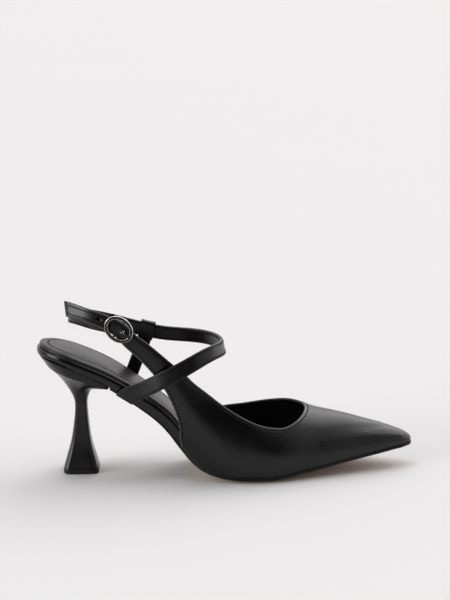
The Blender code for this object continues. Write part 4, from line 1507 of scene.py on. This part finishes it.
def make_floor(look):
    """Pale floor with painted shade that darkens its colour in front of the picture."""
    bm = bmesh.new()
    bmesh.ops.create_circle(bm, cap_ends=True, segments=FLOOR_SIDES, radius=FLOOR_RADIUS)
    paint = Finish("pale_floor")
    pale = paint.mottle(paint.noise(1.5), look.floor_colour, dark=0.985, light=1.0)
    spot = paint.add("ShaderNodeSeparateXYZ", {"Vector": paint.place}).outputs
    aside, ahead = FLOOR_SLANT
    aside = paint.math("MULTIPLY", paint.math("ABSOLUTE", spot["X"]), aside)
    near = paint.math("SUBTRACT", aside, paint.math("MULTIPLY", spot["Y"], ahead))
    # Painted shade: the floor's colour is darkened towards the camera, standing in for the unlit studio
    # there
    painted_shade = paint.remap(near, *FLOOR_PAINTED_SHADE, 0.0, 1.0)
    colour = paint.mix(painted_shade, pale, [c * look.fade for c in look.floor_colour])
    finish = paint.close(colour, 0.85, specular=0.1)
    add_piece("floor", bm, [finish])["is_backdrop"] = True


def make_light(look):
    """White studio with soft boxes, dark behind the camera."""
    world = bpy.data.worlds.new("studio")
    world.use_nodes = True
    bpy.context.scene.world = world
    sky = NodeMaker(world.node_tree)
    way = sky.add("ShaderNodeTexCoord").outputs["Generated"]
    glow = look.room
    for name, toward, rim, core in LIGHTS:
        toward = Vector(toward).normalized()
        facing = sky.add("ShaderNodeVectorMath", {0: way, 1: toward}, operation="DOT_PRODUCT")
        end, full = cos(radians(rim)), cos(radians(core))
        box = sky.remap(facing.outputs["Value"], end, full, 0.0, getattr(look, name))
        glow = sky.math("ADD", box, glow)
    background = world.node_tree.nodes["Background"].inputs
    sky.fill(background["Color"], LIGHT_COLOUR)
    sky.fill(background["Strength"], glow)


def make_camera():
    """Camera at the photograph's angle."""
    lens = bpy.data.cameras.new("photo_camera")
    lens.lens = CAMERA_LENS
    lens.sensor_width = CAMERA_SENSOR
    lens.clip_end = CAMERA_REACH
    camera = bpy.data.objects.new("photo_camera", lens)
    heading, tilt = radians(CAMERA_HEADING), radians(CAMERA_TILT)
    ahead = Vector((sin(heading) * cos(tilt), cos(heading) * cos(tilt), -sin(tilt)))
    camera.location = Vector(CAMERA_AT) * MM
    camera.rotation_euler = ahead.to_track_quat("-Z", "Y").to_euler()
    bpy.context.scene.collection.objects.link(camera)
    bpy.context.scene.camera = camera
    bpy.context.scene.view_settings.view_transform = "Standard"


# Settings that a user would change

def colour_property(name, description, default):
    return FloatVectorProperty(name=name, description=description, subtype="COLOR", size=3,
                               min=0.0, max=1.0, default=default)


def share_property(name, description, default, low=0.0):
    return FloatProperty(name=name, description=description, default=default, min=low, max=1.0,
                         subtype="FACTOR")


def size_property(name, description, default, low, high):
    return FloatProperty(name=name, description=description, default=default, min=low, max=high,
                         precision=6, unit="LENGTH")


def glow_property(name, description, default):
    return FloatProperty(name=name, description=description, min=-50.0, max=50.0, default=default)


class LeatherLook(bpy.types.PropertyGroup):
    """Leathers of the shoe"""
    colour: colour_property("Leather", "Colour of the finished leather", (0.0018, 0.0016, 0.0016))
    # Edge paint lightened to grey, which also paints the highlight along the cut edges
    edge_paint_highlight_colour: colour_property("Edge paint", "Colour of the painted cut edges", (0.110, 0.104, 0.102))
    lining_colour: colour_property("Lining", "Colour inside the upper", (0.009, 0.0077, 0.0075))
    sock_colour: colour_property("Sock", "Colour of the sock leather", (0.016, 0.0145, 0.014))
    tread_colour: colour_property("Tread", "Colour of the leather tread", (0.50, 0.30, 0.17))
    trim_colour: colour_property("Sole edge", "Colour of the trimmed sole edge", (0.005, 0.0045, 0.0045))
    rubber_colour: colour_property("Rubber", "Colour of the heel's top piece", (0.014, 0.013, 0.013))
    roughness: share_property("Roughness", "Softness of the leather's shine", 0.30)
    grain: size_property("Grain", "Depth of the leather's grain", 0.000008, 0.0, 0.001)


class ThreadLook(bpy.types.PropertyGroup):
    """Thread and stitch sizes"""
    colour: colour_property("Thread", "Colour of the thread", (0.0008, 0.0008, 0.0008))
    pitch: size_property("Pitch", "Distance from stitch to stitch", 0.0023, 0.0005, 0.01)
    length: size_property("Length", "Length of one stitch", 0.0016, 0.0003, 0.01)
    thickness: size_property("Thickness", "Thickness of the thread", 0.001, 0.0001, 0.002)


class MetalLook(bpy.types.PropertyGroup):
    """Plating of the buckle"""
    colour: colour_property("Metal", "Colour of the plated metal", (0.045, 0.042, 0.042))
    rim_colour: colour_property("Bevels", "Colour of the polished bevels", (0.62, 0.60, 0.58))
    roughness: share_property("Roughness", "Softness of the metal's shine", 0.2, 0.05)


class StageLook(bpy.types.PropertyGroup):
    """Floor and light"""
    floor_colour: colour_property("Floor", "Colour of the floor", (0.65, 0.648, 0.65))
    # Painted shade: share of the floor's colour left where it is darkened in front of the picture
    fade: share_property("Floor fade", "Share of the floor's colour left in front of the picture", 0.35)
    room: glow_property("Room", "Brightness of the white studio all round", 0.88)
    camera_side: glow_property("Camera side", "Brightness taken away behind the camera", -0.85)
    overhead: glow_property("Overhead box", "Brightness of the soft box above and behind the shoe", 2.1)
    right_box: glow_property("Right box", "Brightness of the soft box beyond the toe", 1.5)
    left_box: glow_property("Left box", "Brightness of the soft box behind the heel", 7.2)
    key: glow_property("Key", "Brightness of the small lamp above the shoe", 5.0)


class PumpLook(bpy.types.PropertyGroup):
    """All settings of the shoe's finish"""
    leather: PointerProperty(type=LeatherLook)
    thread: PointerProperty(type=ThreadLook)
    metal: PointerProperty(type=MetalLook)
    stage: PointerProperty(type=StageLook)


# Operators

class PUMP_OT_upper(bpy.types.Operator):
    """Build the upper with its rolled topline and punched tail"""
    bl_idname = "pump.upper"
    bl_label = "Upper"

    def execute(self, context):
        look = context.scene.pump_look.leather
        finish = leather("upper_leather", look, look.roughness, UPPER_SEAM, UPPER_PUFF, lining=True)
        hand_over(make_upper(finish), "upper_leather", "upper")
        return {"FINISHED"}


class PUMP_OT_sole(bpy.types.Operator):
    """Build the outsole, the wrapped board and the sock"""
    bl_idname = "pump.sole"
    bl_label = "Sole and sock"

    def execute(self, context):
        look = context.scene.pump_look.leather
        trim = plain_edge("sole_edge", look.trim_colour, roughness=0.42, grain=0.00002, scale=900.0)
        hand_over(make_outsole(trim, tread_finish(look)), "outsole", "outsole")
        wrap = leather("rand_leather", look, look.roughness - RAND_GLOSS)
        hand_over(edge_piece("rand", BOARD_EDGE, board_height, 0.0, wrap), "rand_leather", "insole_board")
        sock = edge_piece("sock", SOCK_EDGE, sock_height, SOCK_INSET, sock_finish(look))
        hand_over(sock, "sock_leather", "sock_liner")
        return {"FINISHED"}


class PUMP_OT_heel(bpy.types.Operator):
    """Build the covered heel and its top piece"""
    bl_idname = "pump.heel"
    bl_label = "Heel"

    def execute(self, context):
        look = context.scene.pump_look.leather
        cover = leather("heel_cover", look, look.roughness - HEEL_GLOSS)
        hand_over(make_heel(cover), "heel_cover", "heel")
        rubber = plain_edge("heel_rubber", look.rubber_colour, roughness=0.6, grain=0.00003, scale=1400.0)
        hand_over(make_heel_tip(rubber), "heel_rubber", "heel_tip")
        return {"FINISHED"}


class PUMP_OT_straps(bpy.types.Operator):
    """Build the ankle strap and the inner tab with its loop"""
    bl_idname = "pump.straps"
    bl_label = "Straps"

    def execute(self, context):
        look = context.scene.pump_look.leather
        finish = leather("strap_leather", look, look.roughness, STRAP_SEAM, STRAP_PUFF)
        hand_over(make_ankle_strap(finish), "strap_leather", "ankle_strap")
        hand_over(make_medial_tab(finish), "strap_leather", "medial_tab")
        return {"FINISHED"}


class PUMP_OT_buckle(bpy.types.Operator):
    """Build the buckle's ring, bar and pin"""
    bl_idname = "pump.buckle"
    bl_label = "Buckle"

    def execute(self, context):
        finish = metal_finish(context.scene.pump_look.metal)
        hand_over(make_buckle_ring(finish), "buckle_metal", "buckle_frame")
        hand_over(make_buckle_pin(finish), "buckle_metal", "buckle_prong")
        return {"FINISHED"}


class PUMP_OT_stitches(bpy.types.Operator):
    """Sew the rows of stitches on the upper, the straps and the sock"""
    bl_idname = "pump.stitches"
    bl_label = "Stitches"

    def execute(self, context):
        look = context.scene.pump_look.thread
        thread = thread_finish(look)
        tree = stitch_tree()
        sew("upper_stitches", upper_rows(), thread, tree, look, "upper_leather")
        sew("strap_stitches", strap_rows(), thread, tree, look, "strap_leather")
        sew("sock_stitches", sock_rows(), thread, tree, look, "sock_leather")
        return {"FINISHED"}


class PUMP_OT_stage(bpy.types.Operator):
    """Set the floor, the light and the camera"""
    bl_idname = "pump.stage"
    bl_label = "Stage"

    def execute(self, context):
        look = context.scene.pump_look.stage
        make_floor(look)
        make_light(look)
        make_camera()
        return {"FINISHED"}


class PUMP_PT_sidebar(bpy.types.Panel):
    """Lists the shoe's settings and building steps"""
    bl_idname = "PUMP_PT_sidebar"
    bl_label = "Pump"
    bl_space_type = "VIEW_3D"
    bl_region_type = "UI"
    bl_category = "Pump"

    def draw(self, context):
        look = context.scene.pump_look
        for group in (look.leather, look.thread, look.metal, look.stage):
            box = self.layout.box()
            for name in group.__annotations__:
                box.prop(group, name)
        for operator in STEPS:
            self.layout.operator(operator.bl_idname)


STEPS = (PUMP_OT_upper, PUMP_OT_sole, PUMP_OT_heel, PUMP_OT_straps, PUMP_OT_buckle, PUMP_OT_stitches,
         PUMP_OT_stage)
CLASSES = (LeatherLook, ThreadLook, MetalLook, StageLook, PumpLook, *STEPS, PUMP_PT_sidebar)


def register():
    for item in CLASSES:
        bpy.utils.register_class(item)
    bpy.types.Scene.pump_look = PointerProperty(type=PumpLook)


def unregister():
    del bpy.types.Scene.pump_look
    for item in reversed(CLASSES):
        bpy.utils.unregister_class(item)


def main():
    register()
    bpy.ops.pump.upper()
    bpy.ops.pump.sole()
    bpy.ops.pump.heel()
    bpy.ops.pump.straps()
    bpy.ops.pump.buckle()
    bpy.ops.pump.stitches()
    bpy.ops.pump.stage()
    boxes = {"cad": CAD_BOX, "visual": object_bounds()}
    {name: [list(corner) for corner in box] for name, box in boxes.items()}


if __name__ == "__main__":
    main()
